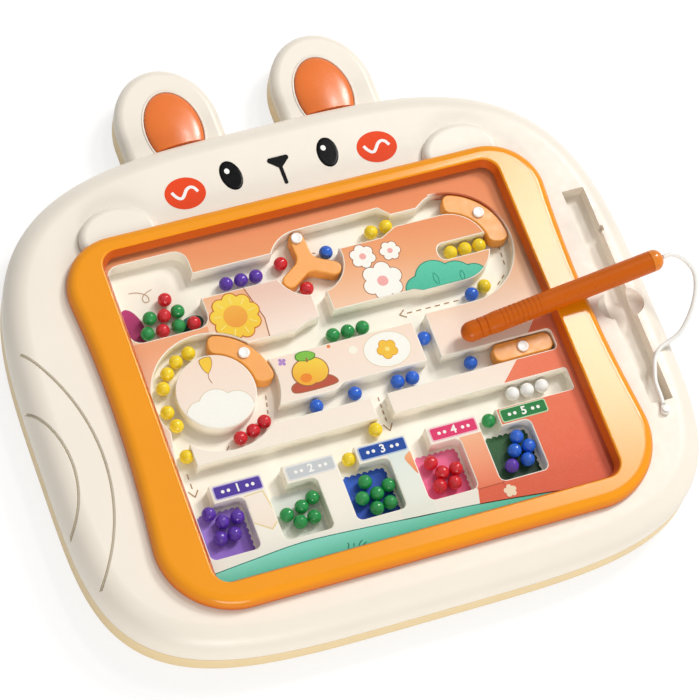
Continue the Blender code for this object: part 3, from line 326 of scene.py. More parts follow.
def ink(colour, second=None, span=(0, 1), direction=(0, 1, 0)):
    """Printed ink, even or in a gradient over a span along a direction, with a faint grain."""
    look = Look("ink_%d_%d_%d" % colour, Specular_IOR_Level=0.12)
    first = srgb(*colour)
    speck = look.noise(0.0004, 2.0)
    if second:
        base = look.mixed(look.spread(look.along(direction), *span), first, srgb(*second))
        paint = look.mixed(look.spread(speck, 0.35, 0.65, 0.0, 0.06), base, (0.95, 0.93, 0.9))
    else:
        paint = look.mixed(look.spread(speck, 0.35, 0.65), shade(first, 0.97), shade(first, 1.03))
    look.wire(paint, "Base Color")
    look.uneven(0.003, 0.38, 0.5)
    return look.made


# Outlines

def at(share):
    """A point of the maze, from its shares of the window's half width and half height."""
    return share[0] * WINDOW_HALF_W, share[1] * WINDOW_HALF_H


def rounded(corners, steps=6):
    """A closed outline through corners of (x, y, radius), each turned into an arc."""
    points = []
    for index, (x, y, radius) in enumerate(corners):
        here = Vector((x, y))
        before = (Vector(corners[index - 1][:2]) - here).normalized()
        after = (Vector(corners[(index + 1) % len(corners)][:2]) - here).normalized()
        half = before.angle(after) / 2
        radius = max(radius, 0.00001)
        reach = radius / math.tan(half)
        middle = here + (before + after).normalized() * (radius / math.sin(half))
        start = here + before * reach - middle
        turn_by = start.angle_signed(here + after * reach - middle)
        points += [tuple(middle + Matrix.Rotation(-turn_by * step / steps, 2) @ start)
                   for step in range(steps + 1)]
    return points


def grown(corners, distance):
    """Corners of an anticlockwise outline moved outwards by a distance, their radii with them."""
    made = []
    for index, (x, y, radius) in enumerate(corners):
        before = (Vector((x, y)) - Vector(corners[index - 1][:2])).normalized()
        after = (Vector(corners[(index + 1) % len(corners)][:2]) - Vector((x, y))).normalized()
        first = Vector((before.y, -before.x))
        second = Vector((after.y, -after.x))
        shift = (first + second) * (distance / (1 + first.dot(second)))
        convex = before.x * after.y - before.y * after.x > 0
        made.append((x + shift.x, y + shift.y, max(radius + (distance if convex else -distance), 0)))
    return made


def box_corners(low, high, radius):
    return [(low[0], low[1], radius), (high[0], low[1], radius),
            (high[0], high[1], radius), (low[0], high[1], radius)]


def round_box(low, high, radius, steps=6):
    return rounded(box_corners(low, high, radius), steps)


def centred_box(half_w, half_h, radius, steps=8):
    return round_box((-half_w, -half_h), (half_w, half_h), radius, steps)


def ellipse(half_w, half_h, steps, centre=(0, 0), tilt=0.0):
    c, s = math.cos(math.radians(tilt)), math.sin(math.radians(tilt))
    points = []
    for step in range(steps):
        angle = 2 * math.pi * step / steps
        x, y = half_w * math.cos(angle), half_h * math.sin(angle)
        points.append((centre[0] + x * c - y * s, centre[1] + x * s + y * c))
    return points


def arc(radius, low_deg, high_deg, steps, centre=(0, 0)):
    turns = [math.radians(low_deg + (high_deg - low_deg) * step / steps)
             for step in range(steps + 1)]
    return [(centre[0] + radius * math.cos(t), centre[1] + radius * math.sin(t)) for t in turns]


def body_outline(inset=0, steps=240):
    """The casing's outline: an ellipse with squared shoulders, set in by a distance."""
    points = []
    for x, y in ellipse(1, 1, steps):
        power, reach = (BODY_UP_POWER, BODY_UP) if y >= 0 else (BODY_DOWN_POWER, BODY_DOWN)
        across = math.copysign(abs(x) ** (2 / power), x)
        along = math.copysign(abs(y) ** (2 / power), y)
        points.append((BODY_CENTRE_X + (BODY_HALF_W - inset) * across,
                       BODY_CENTRE_Y + (reach - inset) * along))
    return points


def ear_outline(side, inset=0, steps=56):
    middle = BODY_CENTRE_X + side * EAR_X
    half = EAR_HALF_W - inset
    crown = [(middle + half * x, EAR_ROUND_Y + (EAR_ROUND_H - inset) * y)
             for x, y in arc(1, 0, 180, steps)]
    return crown + [(middle - half, EAR_ROOT_Y), (middle + half, EAR_ROOT_Y)]


def bezel_outline(grow=0, steps=26):
    right = [(x + grow, y + math.copysign(1, y) * grow * (abs(y) > 0.05),
              radius + (grow if abs(y) > 0.05 else -grow)) for x, y, radius in BEZEL_CORNERS]
    left = [(-x, y, radius) for x, y, radius in reversed(right)]
    return rounded(right + left, steps)


# Solids

def link(piece):
    scene.collection.objects.link(piece)
    return piece


def reworked(mesh, *steps):
    """Run steps on a mesh in its edit form."""
    work = bmesh.new()
    work.from_mesh(mesh)
    for step in steps:
        step(work)
    work.to_mesh(mesh)
    work.free()
    return mesh


def face_outwards(work):
    bmesh.ops.recalc_face_normals(work, faces=work.faces)


def weld(work):
    bmesh.ops.remove_doubles(work, verts=work.verts, dist=WELD)


def modify(piece, kind, **settings):
    """Apply one modifier to a piece."""
    step = piece.modifiers.new("step", kind)
    for key, value in settings.items():
        setattr(step, key, value)
    bpy.context.view_layer.objects.active = piece
    bpy.ops.object.modifier_apply(modifier=step.name)


def stack(name, *solids, closed=False):
    """One object of solids, each through rings of (x, y, z) with as many points in each.

    Closed ones join their last ring to their first; the others have a cap at both ends.
    """
    points = []
    faces = []
    for rings in solids:
        start, count, total = len(points), len(rings[0]), len(rings)
        points += [point for ring in rings for point in ring]
        if not closed:
            faces.append(tuple(reversed(range(start, start + count))))
        for step in range(total if closed else total - 1):
            base = start + step * count
            other = start + (step + 1) % total * count
            for index in range(count):
                after = (index + 1) % count
                faces.append((base + index, base + after, other + after, other + index))
        if not closed:
            faces.append(tuple(range(len(points) - count, len(points))))
    mesh = bpy.data.meshes.new(name)
    mesh.from_pydata(points, [], faces)
    return link(bpy.data.objects.new(name, reworked(mesh, face_outwards)))


def level(outline, height):
    return [(x, y, height) for x, y in outline]


def flat(name, outline, low, high):
    return stack(name, [level(outline, low), level(outline, high)])


def quarter(steps, turn=math.pi / 2):
    """Sines and cosines in steps over a quarter turn, or over another one."""
    angles = [turn * step / steps for step in range(steps + 1)]
    return [(math.sin(angle), math.cos(angle)) for angle in angles]


def soft_flat(name, outline_of, low, high, radius, steps=5, rise=None):
    """A flat solid with a rounded upper edge. outline_of gives the outline grown by a distance."""
    rise = rise or radius
    rings = [level(outline_of(-radius * (1 - c)), high - rise + rise * s) for s, c in quarter(steps)]
    return stack(name, [level(outline_of(0), low), *rings])


def dome(half_w, half_h, centre, base, rise, points, steps):
    """Rings of an oval that close over a rounded top, or under a bowl's floor."""
    return [level(ellipse(half_w * (c * 0.98 + 0.02), half_h * (c * 0.98 + 0.02), points, centre),
                  base + rise * s) for s, c in quarter(steps)]


def round_rim(piece, height, radius, segments):
    """Round the edges that run round a piece's flat face at one height."""
    def bevel(work):
        rim = [edge for edge in work.edges
               if all(abs(vert.co.z - height) < GAP / 10 for vert in edge.verts)
               and edge.calc_face_angle(0) > math.radians(60)]
        bmesh.ops.bevel(work, geom=rim, offset=radius, segments=segments, profile=0.5,
                        affect="EDGES", clamp_overlap=True)

    reworked(piece.data, bevel, face_outwards)
    return piece


def combine(piece, operation, *tools):
    """Apply Boolean steps to a piece and remove the tools."""
    for tool in tools:
        modify(piece, "BOOLEAN", operation=operation, solver="EXACT", object=tool)
        bpy.data.objects.remove(tool, do_unlink=True)
    reworked(piece.data, weld)
    return piece


def cut(piece, *tools):
    return combine(piece, "DIFFERENCE", *tools)


def turned(name, profile, steps, place):
    """A solid turned about Z from a profile of (radius, height), then put in its place."""
    piece = stack(name, [level(ellipse(radius, radius, steps), height) for radius, height in profile])
    piece.data.transform(place)
    return piece


def tube_rings(points, radius, sides):
    path = [Vector(point) for point in points]
    rings = []
    normal = None
    for index, point in enumerate(path):
        ahead = path[min(index + 1, len(path) - 1)] - path[max(index - 1, 0)]
        ahead.normalize()
        if normal is None:
            normal = ahead.orthogonal().normalized()
        normal = (normal - ahead * normal.dot(ahead)).normalized()
        across = ahead.cross(normal)
        rings.append([tuple(point + (normal * math.cos(a) + across * math.sin(a)) * radius)
                      for a in (2 * math.pi * side / sides for side in range(sides))])
    return rings


def tube(name, points, radius, sides):
    """A round tube along points, closed at both ends."""
    return stack(name, tube_rings(points, radius, sides))


def spline(knots, steps):
    """Points of a smooth curve through knots, all but the first and the last two."""
    points = []
    for a, b, c, d in zip(knots, knots[1:], knots[2:], knots[3:]):
        for step in range(steps):
            t = step / steps
            points.append(((2 * b) + (c - a) * t + (2 * a - 5 * b + 4 * c - d) * t ** 2
                           + (3 * b - a - 3 * c + d) * t ** 3) / 2)
    return points


def smooth_route(route, steps):
    """Points along a smooth curve through the route's own points."""
    knots = [Vector(point) for point in (route[0], *route, route[-1])]
    return spline(knots, steps) + [knots[-1]]


def finish(piece, material, body="casing", nodes=(), sharp=35):
    """Give a piece its material, shading, body and the CAD nodes that it stands for."""
    piece.data.materials.clear()
    piece.data.materials.append(material)
    piece.data.shade_smooth()
    piece.data.set_sharp_from_angle(angle=math.radians(sharp))
    modify(piece, "WEIGHTED_NORMAL", keep_sharp=True, weight=90)
    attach(piece, body)
    if nodes:
        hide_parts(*nodes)
    return piece


# Colours and materials

ORANGE = srgb(243, 154, 14)
cream_plastic = moulded("cream_plastic", (240, 232, 219), (0.34, 0.46), 0.012)
# Darker beige for the strip inside the casing's grooves: painted shade
groove_shade_plastic = moulded("groove_shade_plastic", (176, 164, 142), (0.5, 0.6), 0.03)
beige_plastic = moulded("beige_plastic", (234, 210, 162), (0.40, 0.52), 0.02)
# Deep orange of the sheet on the window's wall: painted shade
shade_lining_plastic = moulded("shade_lining_plastic", (202, 88, 8), (0.3, 0.4), 0.03, 0.00001,
                         Specular_IOR_Level=0.2)
insert_plastic = moulded("insert_plastic", (238, 120, 42), (0.22, 0.3), 0.03, 0.00001)
lever_plastic = moulded("lever_plastic", (244, 162, 62), (0.26, 0.36), 0.03)
pen_plastic = moulded("pen_plastic", (196, 92, 2), (0.26, 0.34), 0.03, Specular_IOR_Level=0.22)
tail_plastic = moulded("pen_tail_plastic", (224, 126, 20), (0.16, 0.22), 0.03)
white_plastic = moulded("white_plastic", (252, 251, 248), (0.22, 0.32), 0.01)
steel = moulded("screw_steel", (168, 168, 172), (0.24, 0.4), 0.05, Metallic=1.0)
black_gloss = moulded("black_gloss", (10, 9, 10), (0.16, 0.22), 0.05, 0.000003,
                      Specular_IOR_Level=0.08)
cord_plastic = moulded("cord_plastic", (236, 236, 232), (0.2, 0.3), 0.01, 0.000005)


def bezel_look():
    """Glossy orange, darkened towards the frame's foot as painted shade."""
    look = Look("bezel_plastic_shaded_foot", Coat_Weight=0.5, Coat_Roughness=0.14, Specular_IOR_Level=0.04)
    upper = look.drift(shade(ORANGE, 0.98), shade(ORANGE, 1.02))
    # Painted shade: the orange deepens from the frame's top down to its foot.
    rise = look.spread(look.along((0, 0, 1)), BODY_TOP_Z + 0.0008, BEZEL_TOP_Z - 0.0008)
    look.wire(look.mixed(rise, srgb(206, 98, 4), upper), "Base Color")
    return look.skin(0.26, 0.34, 0.00001)


def clear_look():
    """Clear sheet: it lets the light through and takes on gloss at a slant."""
    look = Look("clear_sheet")
    roughness = look.spread(look.noise(0.02), 0.3, 0.7, 0.02, 0.05)
    slant = look.node("LayerWeight", "Facing", {"Blend": 0.5})
    both = look.node("MixShader", 0, {
        0: look.spread(slant, 0.3, 1.0, 0.0, 0.4),
        1: look.node("BsdfTransparent", 0, {"Color": (0.998, 1.0, 0.998, 1)}),
        2: look.node("BsdfGlossy", 0, {"Roughness": roughness})})
    look.tree.links.new(both, look.tree.nodes["Material Output"].inputs["Surface"])
    return look.made


# Pen and tether

def pen_lean():
    """Height of the tip's pole and the pen's slope, with its tip on the cover."""
    reach = (WINDOW_HALF_W - PEN_TIP[0]) / math.cos(math.radians(PEN_YAW_DEG))
    slope = 0
    for _ in range(12):
        height = COVER_TOP_Z + GAP + PEN_TIP_R * (1 - math.sin(slope))
        rise = BEZEL_TOP_Z + GAP + PEN_R / math.cos(slope) - height
        slope = math.atan(rise / reach)
    return height, slope


def notch(radius, start, depth, slant):
    """Profile of a shallow groove round the pen."""
    return [(radius, start), (radius - depth, start + slant),
            (radius - depth, start + NOTCH_W - slant), (radius, start + NOTCH_W)]


def make_pen():
    height, slope = pen_lean()
    place = (Matrix.Translation((*PEN_TIP, height))
             @ Matrix.Rotation(math.radians(PEN_YAW_DEG), 4, "Z")
             @ Matrix.Rotation(math.pi / 2 - slope, 4, "Y"))
    tail_z = PEN_LENGTH - TAIL_CAP_LENGTH
    profile = [(PEN_TIP_R * max(s, 0.01), PEN_TIP_R - PEN_TIP_R * c) for s, c in quarter(12)]
    for start in (0.0085, 0.0123):
        profile += notch(PEN_TIP_R, start, 0.0004, 0.00025)
    profile += [(PEN_TIP_R, 0.0150), (PEN_R, 0.0175)]
    for index in range(9):
        profile += notch(PEN_R, 0.0205 + index * 0.0024, 0.00022, 0.0003)
    profile += [(PEN_R, tail_z), (PEN_R - 0.0003, tail_z + 0.0001)]
    pen = turned("pen_barrel", profile, 64, place)
    finish(pen, pen_plastic, "pen", ["pen_body", "pen_tip_cap", "pen_magnet"])
    rise = TAIL_CAP_LENGTH * 0.7
    profile = [(PEN_R - 0.0003, tail_z + 0.00012), (PEN_R, tail_z + 0.0003)]
    profile += [(PEN_R * max(c, 0.01), PEN_LENGTH - rise + rise * s) for s, c in quarter(12)]
    tail = turned("pen_tail_dome", profile, 64, place)
    return finish(tail, tail_plastic, "pen", ["pen_tail_cap"])


cord_points = smooth_route(CORD_ROUTE, 6)
cord = tube("tether", cord_points, CORD_R, 16)
cord.data.materials.append(cord_plastic)
cord.data.shade_smooth()
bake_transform(cord)
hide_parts("tether_cord")
make_pen()


# Casing

def casing_top(distance):
    """Height of the casing's top face at a distance in from its edge."""
    if distance >= BODY_EDGE_R:
        return BODY_TOP_Z
    drop = BODY_EDGE_R - max(distance, 0)
    return BODY_TOP_Z - BODY_EDGE_R + math.sqrt(BODY_EDGE_R ** 2 - drop ** 2)


def edge_distance(x, y, outline=body_outline(steps=960)):
    return min(math.hypot(x - px, y - py) for px, py in outline)


def groove_tool(centre_x, radius, half_deg, rise, thick):
    """A rod that follows the casing's top face along an arc."""
    spots = arc(radius, -half_deg, half_deg, 60, (centre_x, GROOVE_CENTRE_Y))
    return tube("groove_line", [(x, y, casing_top(edge_distance(x, y)) + rise) for x, y in spots],
                thick, 12)


def casing_block(inset):
    """Room of the front shell, with its outline set in by a distance."""
    return flat("block", body_outline(inset), SEAM_Z, BODY_TOP_Z)


def tray_box(grow=0, radius=TRAY_CORNER_R):
    return centred_box(WINDOW_HALF_W + TRAY_MARGIN + grow, WINDOW_HALF_H + TRAY_MARGIN + grow, radius)


def insert_middle(side):
    return BODY_CENTRE_X + side * INSERT_X, INSERT_Y


def insert_oval(side, grow):
    return ellipse(INSERT_HALF_W + grow, INSERT_HALF_H + grow, 96, insert_middle(side))


def make_front():
    """The front shell, with finer edges than the solid has."""
    front = round_rim(flat("front_skin", body_outline(), SEAM_Z, BODY_TOP_Z),
                      BODY_TOP_Z, BODY_EDGE_R, 12)
    combine(front, "UNION", *[
        soft_flat("ear", lambda grow, side=side: ear_outline(side, -grow),
                  SEAM_Z, EAR_TOP_Z, EAR_EDGE_R, 6) for side in (-1, 1)])
    high = BODY_TOP_Z + OVERRUN
    x, y, half_w, half_h, depth = SCOOP
    slot = round_box(*zip(SLOT_X, SLOT_Y), 0.0006)
    nick = round_box((SLOT_X[1] - NICK_HALF, NICK_Y - NICK_HALF),
                     (SLOT_X[1] + NICK_HALF, NICK_Y + NICK_HALF), 0)
    tools = [
        flat("opening", tray_box(GAP, TRAY_CORNER_R + GAP), SEAM_Z - OVERRUN, high),
        flat("slot", slot, BODY_TOP_Z - SLOT_DEPTH, high),
        stack("scoop", [level(ellipse(half_w, half_h, 64, (x, y)), high),
                        *dome(half_w, half_h, (x, y), BODY_TOP_Z, -depth, 64, 8)]),
        flat("nick", nick, BODY_TOP_Z - SLOT_DEPTH / 2, high),
    ]
    for side in (-1, 1):
        recess = flat("recess", insert_oval(side, GAP), EAR_TOP_Z - INSERT_RECESS,
                      EAR_TOP_Z + OVERRUN)
        tools.append(cut(recess, casing_block(-GAP)))
    tools += [groove_tool(*values, GROOVE_R / 3, GROOVE_R) for values in GROOVES]
    finish(cut(front, *tools), cream_plastic, nodes=["front_shell"])
    # A darker strip lies in each groove: painted shade of the groove.
    for values in GROOVES:
        line = groove_tool(*values, -GROOVE_R * 0.62, GROOVE_R * 0.5)
        finish(combine(line, "INTERSECT", casing_block(GROOVE_R)), groove_shade_plastic)


def make_back():
    back, *ears = [round_rim(flat("back_skin", outline, 0, SEAM_Z - GAP), 0, BACK_EDGE_R, 6)
                   for outline in (body_outline(), ear_outline(-1), ear_outline(1))]
    combine(back, "UNION", *ears)
    seats = []
    for node in frame["nodes"]:
        if node.startswith("screw_"):
            low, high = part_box(node)
            middle = ((low.x + high.x) / 2, (low.y + high.y) / 2)
            seats.append(flat("seat", ellipse(SEAT_R, SEAT_R, 48, middle), -OVERRUN, SEAT_DEPTH))
    finish(cut(back, *seats), beige_plastic, nodes=["back_shell"])


def make_inserts():
    """Glossy domed ovals in the ears, each with a fine lip round it."""
    for side, node in ((-1, "ear_insert_left"), (1, "ear_insert_right")):
        insert = stack(node + "_gloss", [
            level(insert_oval(side, 0), EAR_TOP_Z - INSERT_RECESS + GAP),
            *dome(INSERT_HALF_W, INSERT_HALF_H, insert_middle(side),
                  EAR_TOP_Z + INSERT_PROUD * 0.1, INSERT_DOME, 96, 12)])
        finish(cut(insert, casing_block(-GAP * 2)), insert_plastic, nodes=[node])
        lip = stack(node + "_lip", [
            level(insert_oval(side, GAP + LIP_R * (1 - c)), EAR_TOP_Z - LIP_R / 4 + LIP_R * s)
            for s, c in quarter(8, math.pi)], closed=True)
        finish(cut(lip, casing_block(-GAP)), cream_plastic)


def window_rings(spans):
    """Rings of the window, for spans of (height, growth)."""
    return [level(centred_box(WINDOW_HALF_W + grow, WINDOW_HALF_H + grow, WINDOW_CORNER_R + grow, 14),
                  height) for height, grow in spans]


def make_bezel():
    """Orange frame with a rounded inner edge, and a darker sheet on the window's wall that paints its
    shade.
    """
    low = BODY_TOP_Z + GAP
    bezel = round_rim(flat("bezel_gloss", bezel_outline(), low, BEZEL_TOP_Z),
                      BEZEL_TOP_Z, BEZEL_EDGE_R, 10)
    rebate = flat("rebate", tray_box(GAP, TRAY_CORNER_R + GAP), low - OVERRUN, COVER_TOP_Z + GAP)
    top = -WINDOW_SLOPE * 0.12
    spans = [(COVER_TOP_Z, -WINDOW_SLOPE)]
    spans += [(BEZEL_TOP_Z - WINDOW_EDGE_R * (1 - s), WINDOW_EDGE_R * (1 - c) + top)
              for s, c in quarter(5)]
    spans.append((BEZEL_TOP_Z + OVERRUN, spans[-1][1]))
    cut(bezel, rebate, stack("window", window_rings(spans)))
    finish(bezel, bezel_look(), nodes=["bezel_frame"])
    # Thin deep-orange sheet over the window's wall: painted shade
    outer, inner = [window_rings(((COVER_TOP_Z + GAP, -WINDOW_SLOPE * 0.95 - inset),
                                  (BEZEL_TOP_Z - WINDOW_EDGE_R, top - inset)))
                    for inset in (0, SHADE_LINING_T)]
    finish(stack("bezel_shade_lining", outer + inner[::-1], closed=True), shade_lining_plastic)


def make_paws():
    low = BODY_TOP_Z + GAP
    for side, node in ((-1, "paw_left"), (1, "paw_right")):
        paw = soft_flat(node + "_pad",
                        lambda grow: ellipse(PAW_HALF_W + grow, PAW_HALF_H + grow, 96,
                                             (side * PAW_X, PAW_Y)),
                        low, low + PAW_T, PAW_EDGE_R, 8)
        cut(paw, flat("keep", bezel_outline(-1.5 * OVERRUN), BODY_TOP_Z - OVERRUN, BEZEL_TOP_Z))
        finish(paw, cream_plastic, nodes=[node])


# Maze tray

def levels_of(outline_of):
    """Rings of a channel cutter, with a small fillet at the floor and a rounded upper edge."""
    radius = WALL_EDGE_R
    foot = [level(outline_of(-radius * (1 - s)), CHANNEL_Z + radius * (1 - c)) for s, c in quarter(2)]
    edge = [level(outline_of(radius * (1 - c)), ISLAND_Z - radius + radius * s)
            for s, c in quarter(4)]
    return foot + edge + [level(outline_of(radius), ISLAND_Z + OVERRUN)]


def plate_levels(outline_of):
    """Rings of a cutter that keeps the ink off the islands' edges."""
    return [level(outline_of(PRINT_EDGE), height)
            for height in (ISLAND_Z - OVERRUN, ISLAND_Z + OVERRUN)]


def channel(make_levels, radius, points, steps=4):
    """A channel cutter from two corners or a whole outline."""
    corners = [(x, y, radius) for x, y in points]
    if len(points) == 2:
        corners = box_corners(*points, radius)
    return stack("channel", make_levels(lambda grow: rounded(grown(corners, grow), steps)))


def loop_outline(grow, overlap=0.002):
    x, y = at(LOOP_SHARE)
    outer = LOOP_OUTER_R + grow
    inner = LOOP_INNER_R - grow
    points = [(-overlap, -outer), *arc(outer, -90, 90, 64), (-overlap, outer), (-overlap, inner),
              *arc(inner, 90, -90, 48), (-overlap, -inner)]
    return [(x + px, y + py) for px, py in points]


def cup_corner(index):
    """Upper left corner of a sorting cup."""
    return (CUP_LEFT_SHARE + index * CUP_PITCH_SHARE) * WINDOW_HALF_W, CUP_TOP_SHARE * WINDOW_HALF_H


def channel_tools(make_levels):
    """Every cutter of the tray's channels and pockets."""
    def round_levels(share, radius, steps, way=1):
        return make_levels(lambda grow: ellipse(radius + way * grow, radius + way * grow, steps,
                                                at(share)))

    tools = [channel(make_levels, radius, [at(share) for share in points])
             for radius, points in CHANNELS]
    tools += [stack("arena", round_levels(ARENA_SHARE, ARENA_R, 96)),
              stack("loop", make_levels(loop_outline))]
    ring = stack("ring", round_levels(RING_SHARE, RING_OUTER_R, 128))
    rings = round_levels(RING_SHARE, RING_INNER_R, 96, -1)
    first = [(x, y, z - OVERRUN) for x, y, z in rings[0]]
    last = [(x, y, z + OVERRUN) for x, y, z in rings[-1]]
    tools.append(cut(ring, stack("disc", [first, *rings, last])))
    low, high = (share * WINDOW_HALF_H for share in CUP_GATE_SHARES)
    for index in range(CUP_COUNT):
        left, top = cup_corner(index)
        tools += [channel(make_levels, POCKET_CORNER_R / 2,
                          ((left, top - CUP_H), (left + CUP_W, top)), 6),
                  channel(make_levels, 0, ((left, low), (left + CUP_GATE_W, high)))]
    return tools


def tray_look():
    """The tray's plastic, with painted shade on the upper part of the loop's outer wall, tinted
    red-orange as painted light bounced off the print round it.
    """
    look = Look("tray_plastic_shaded_loop_wall", Specular_IOR_Level=0.4)
    x, y = at(LOOP_SHARE)
    away = look.node("VectorMath", "Value", {0: look.place, 1: (x, y, (CHANNEL_Z + ISLAND_Z) / 2)},
                     operation="DISTANCE")
    share = look.spread(away, LOOP_OUTER_R - 0.0002, LOOP_OUTER_R + 0.0001)
    for direction, low, high in (((1, 0, 0), x - 0.001, x + 0.003), ((0, 1, 0), y, y + 0.016),
                                 ((0, 0, 1), CHANNEL_Z + 0.0006, CHANNEL_Z + 0.0012)):
        part = look.spread(look.along(direction), low, high)
        share = look.node("Math", 0, {0: share, 1: part}, operation="MULTIPLY")
    plain = look.drift(srgb(251, 244, 230), srgb(253, 247, 234))
    # Painted shade with painted bounce light: dark red-orange on the loop's upper outer wall.
    look.wire(look.mixed(share, plain, srgb(206, 112, 74)), "Base Color")
    return look.skin(0.36, 0.46, 0.00002)


def make_tray():
    tray = flat("maze_tray", tray_box(), TRAY_LOW_Z, COVER_LOW_Z - RIM_DROP)
    cut(tray, flat("lowered", tray_box(-RIM_W), ISLAND_Z, COVER_LOW_Z), *channel_tools(levels_of))
    finish(tray, tray_look(), nodes=["maze_board"], sharp=30)


# Prints on the islands. Their outlines and lines are in millimetres.

print_area = flat("print_area", tray_box(-0.0016), ISLAND_Z, ISLAND_Z + PRINT_T)
cut(print_area, *channel_tools(plate_levels))


def zone(name, outline, material, layer=1):
    """Ink over part of the islands, kept off their edges."""
    piece = print_area.copy()
    piece.data = print_area.data.copy()
    piece.name = name
    area = [(x / 1000, y / 1000) for x, y in outline]
    combine(link(piece), "INTERSECT", flat("area", area, ISLAND_Z - OVERRUN, ISLAND_Z + OVERRUN))
    piece.data.transform(Matrix.Translation((0, 0, layer * PRINT_T)))
    return finish(piece, material)


def outlined(name, make_outline, fill, line, width, layer=1):
    """A printed shape with a line round it. make_outline gives its outline grown by a distance."""
    zone(name + "_line", make_outline(width), line, layer)
    zone(name, make_outline(0), fill, layer + 1)


def sticker(name, outline, material, base=ISLAND_Z, layer=1, thick=PRINT_T):
    """A small printed shape that lies wholly on one face. Its outline is in metres."""
    low = base + layer * PRINT_T
    return finish(flat(name, outline, low, low + thick), material)


def strokes(name, lines, width, material, base=ISLAND_Z, layer=1):
    """Inked lines, each a flattened bead of ink."""
    low = base + layer * PRINT_T
    half = width / 2000
    solids = []
    for line in lines:
        route = [(x / 1000, y / 1000, 0) for x, y in line]
        if len(route) > 2:
            route = smooth_route(route, 5)
        solids.append([[(x, y, low + z * PRINT_T / half) for x, y, z in ring]
                       for ring in tube_rings(route, half, 8)])
    return finish(stack(name, *solids), material)


def base_print():
    """The print's ground: salmon at the top, pale pink in the middle and cream lower down."""
    look = Look("print_ground", Specular_IOR_Level=0.12)
    height = look.spread(look.along((0.12, 1, 0)), -WINDOW_HALF_H, WINDOW_HALF_H)
    node = look.tree.nodes.new("ShaderNodeValToRGB")
    look.tree.links.new(height, node.inputs["Fac"])
    stops = ((0.0, (251, 247, 236)), (0.28, (251, 241, 228)), (0.5, (251, 232, 218)),
             (0.6, (251, 228, 211)), (0.66, (249, 214, 188)), (0.74, (247, 195, 157)),
             (0.82, (242, 172, 124)), (0.9, (240, 157, 108)), (1.0, (238, 147, 99)))
    elements = node.color_ramp.elements
    while len(elements) < len(stops):
        elements.new(0.5)
    for element, (stop, colour) in zip(elements, stops):
        element.position = stop
        element.color = (*srgb(*colour), 1)
    look.wire(node.outputs["Color"], "Base Color")
    look.uneven(0.003, 0.38, 0.5)
    return look.made


def disc(x, y, radius, steps):
    return ellipse(radius, radius, steps, (x, y))


def puffs(centre, circles, grow=0, steps=120):
    """Outline round circles of (x, y, radius) as seen from a centre."""
    points = []
    for x, y in disc(0, 0, 1, steps):
        way = Vector((x, y))
        far = 0.1
        for x, y, radius in circles:
            off = Vector((x - centre[0], y - centre[1]))
            along = off.dot(way)
            miss = (off - way * along).length
            if miss < radius + grow:
                far = max(far, along + math.sqrt((radius + grow) ** 2 - miss ** 2))
        points.append((centre[0] + way.x * far, centre[1] + way.y * far))
    return points


def petals(centre, count, orbit, radius, lean=0):
    """Circles of a flower's petals."""
    turns = [math.radians(lean + 360 * index / count) for index in range(count)]
    return [(centre[0] + orbit * math.cos(turn), centre[1] + orbit * math.sin(turn), radius)
            for turn in turns]


def blob(*points):
    """A smooth closed outline through points."""
    return spline([Vector(point) for point in (points[-1], *points, *points[:2])], 8)


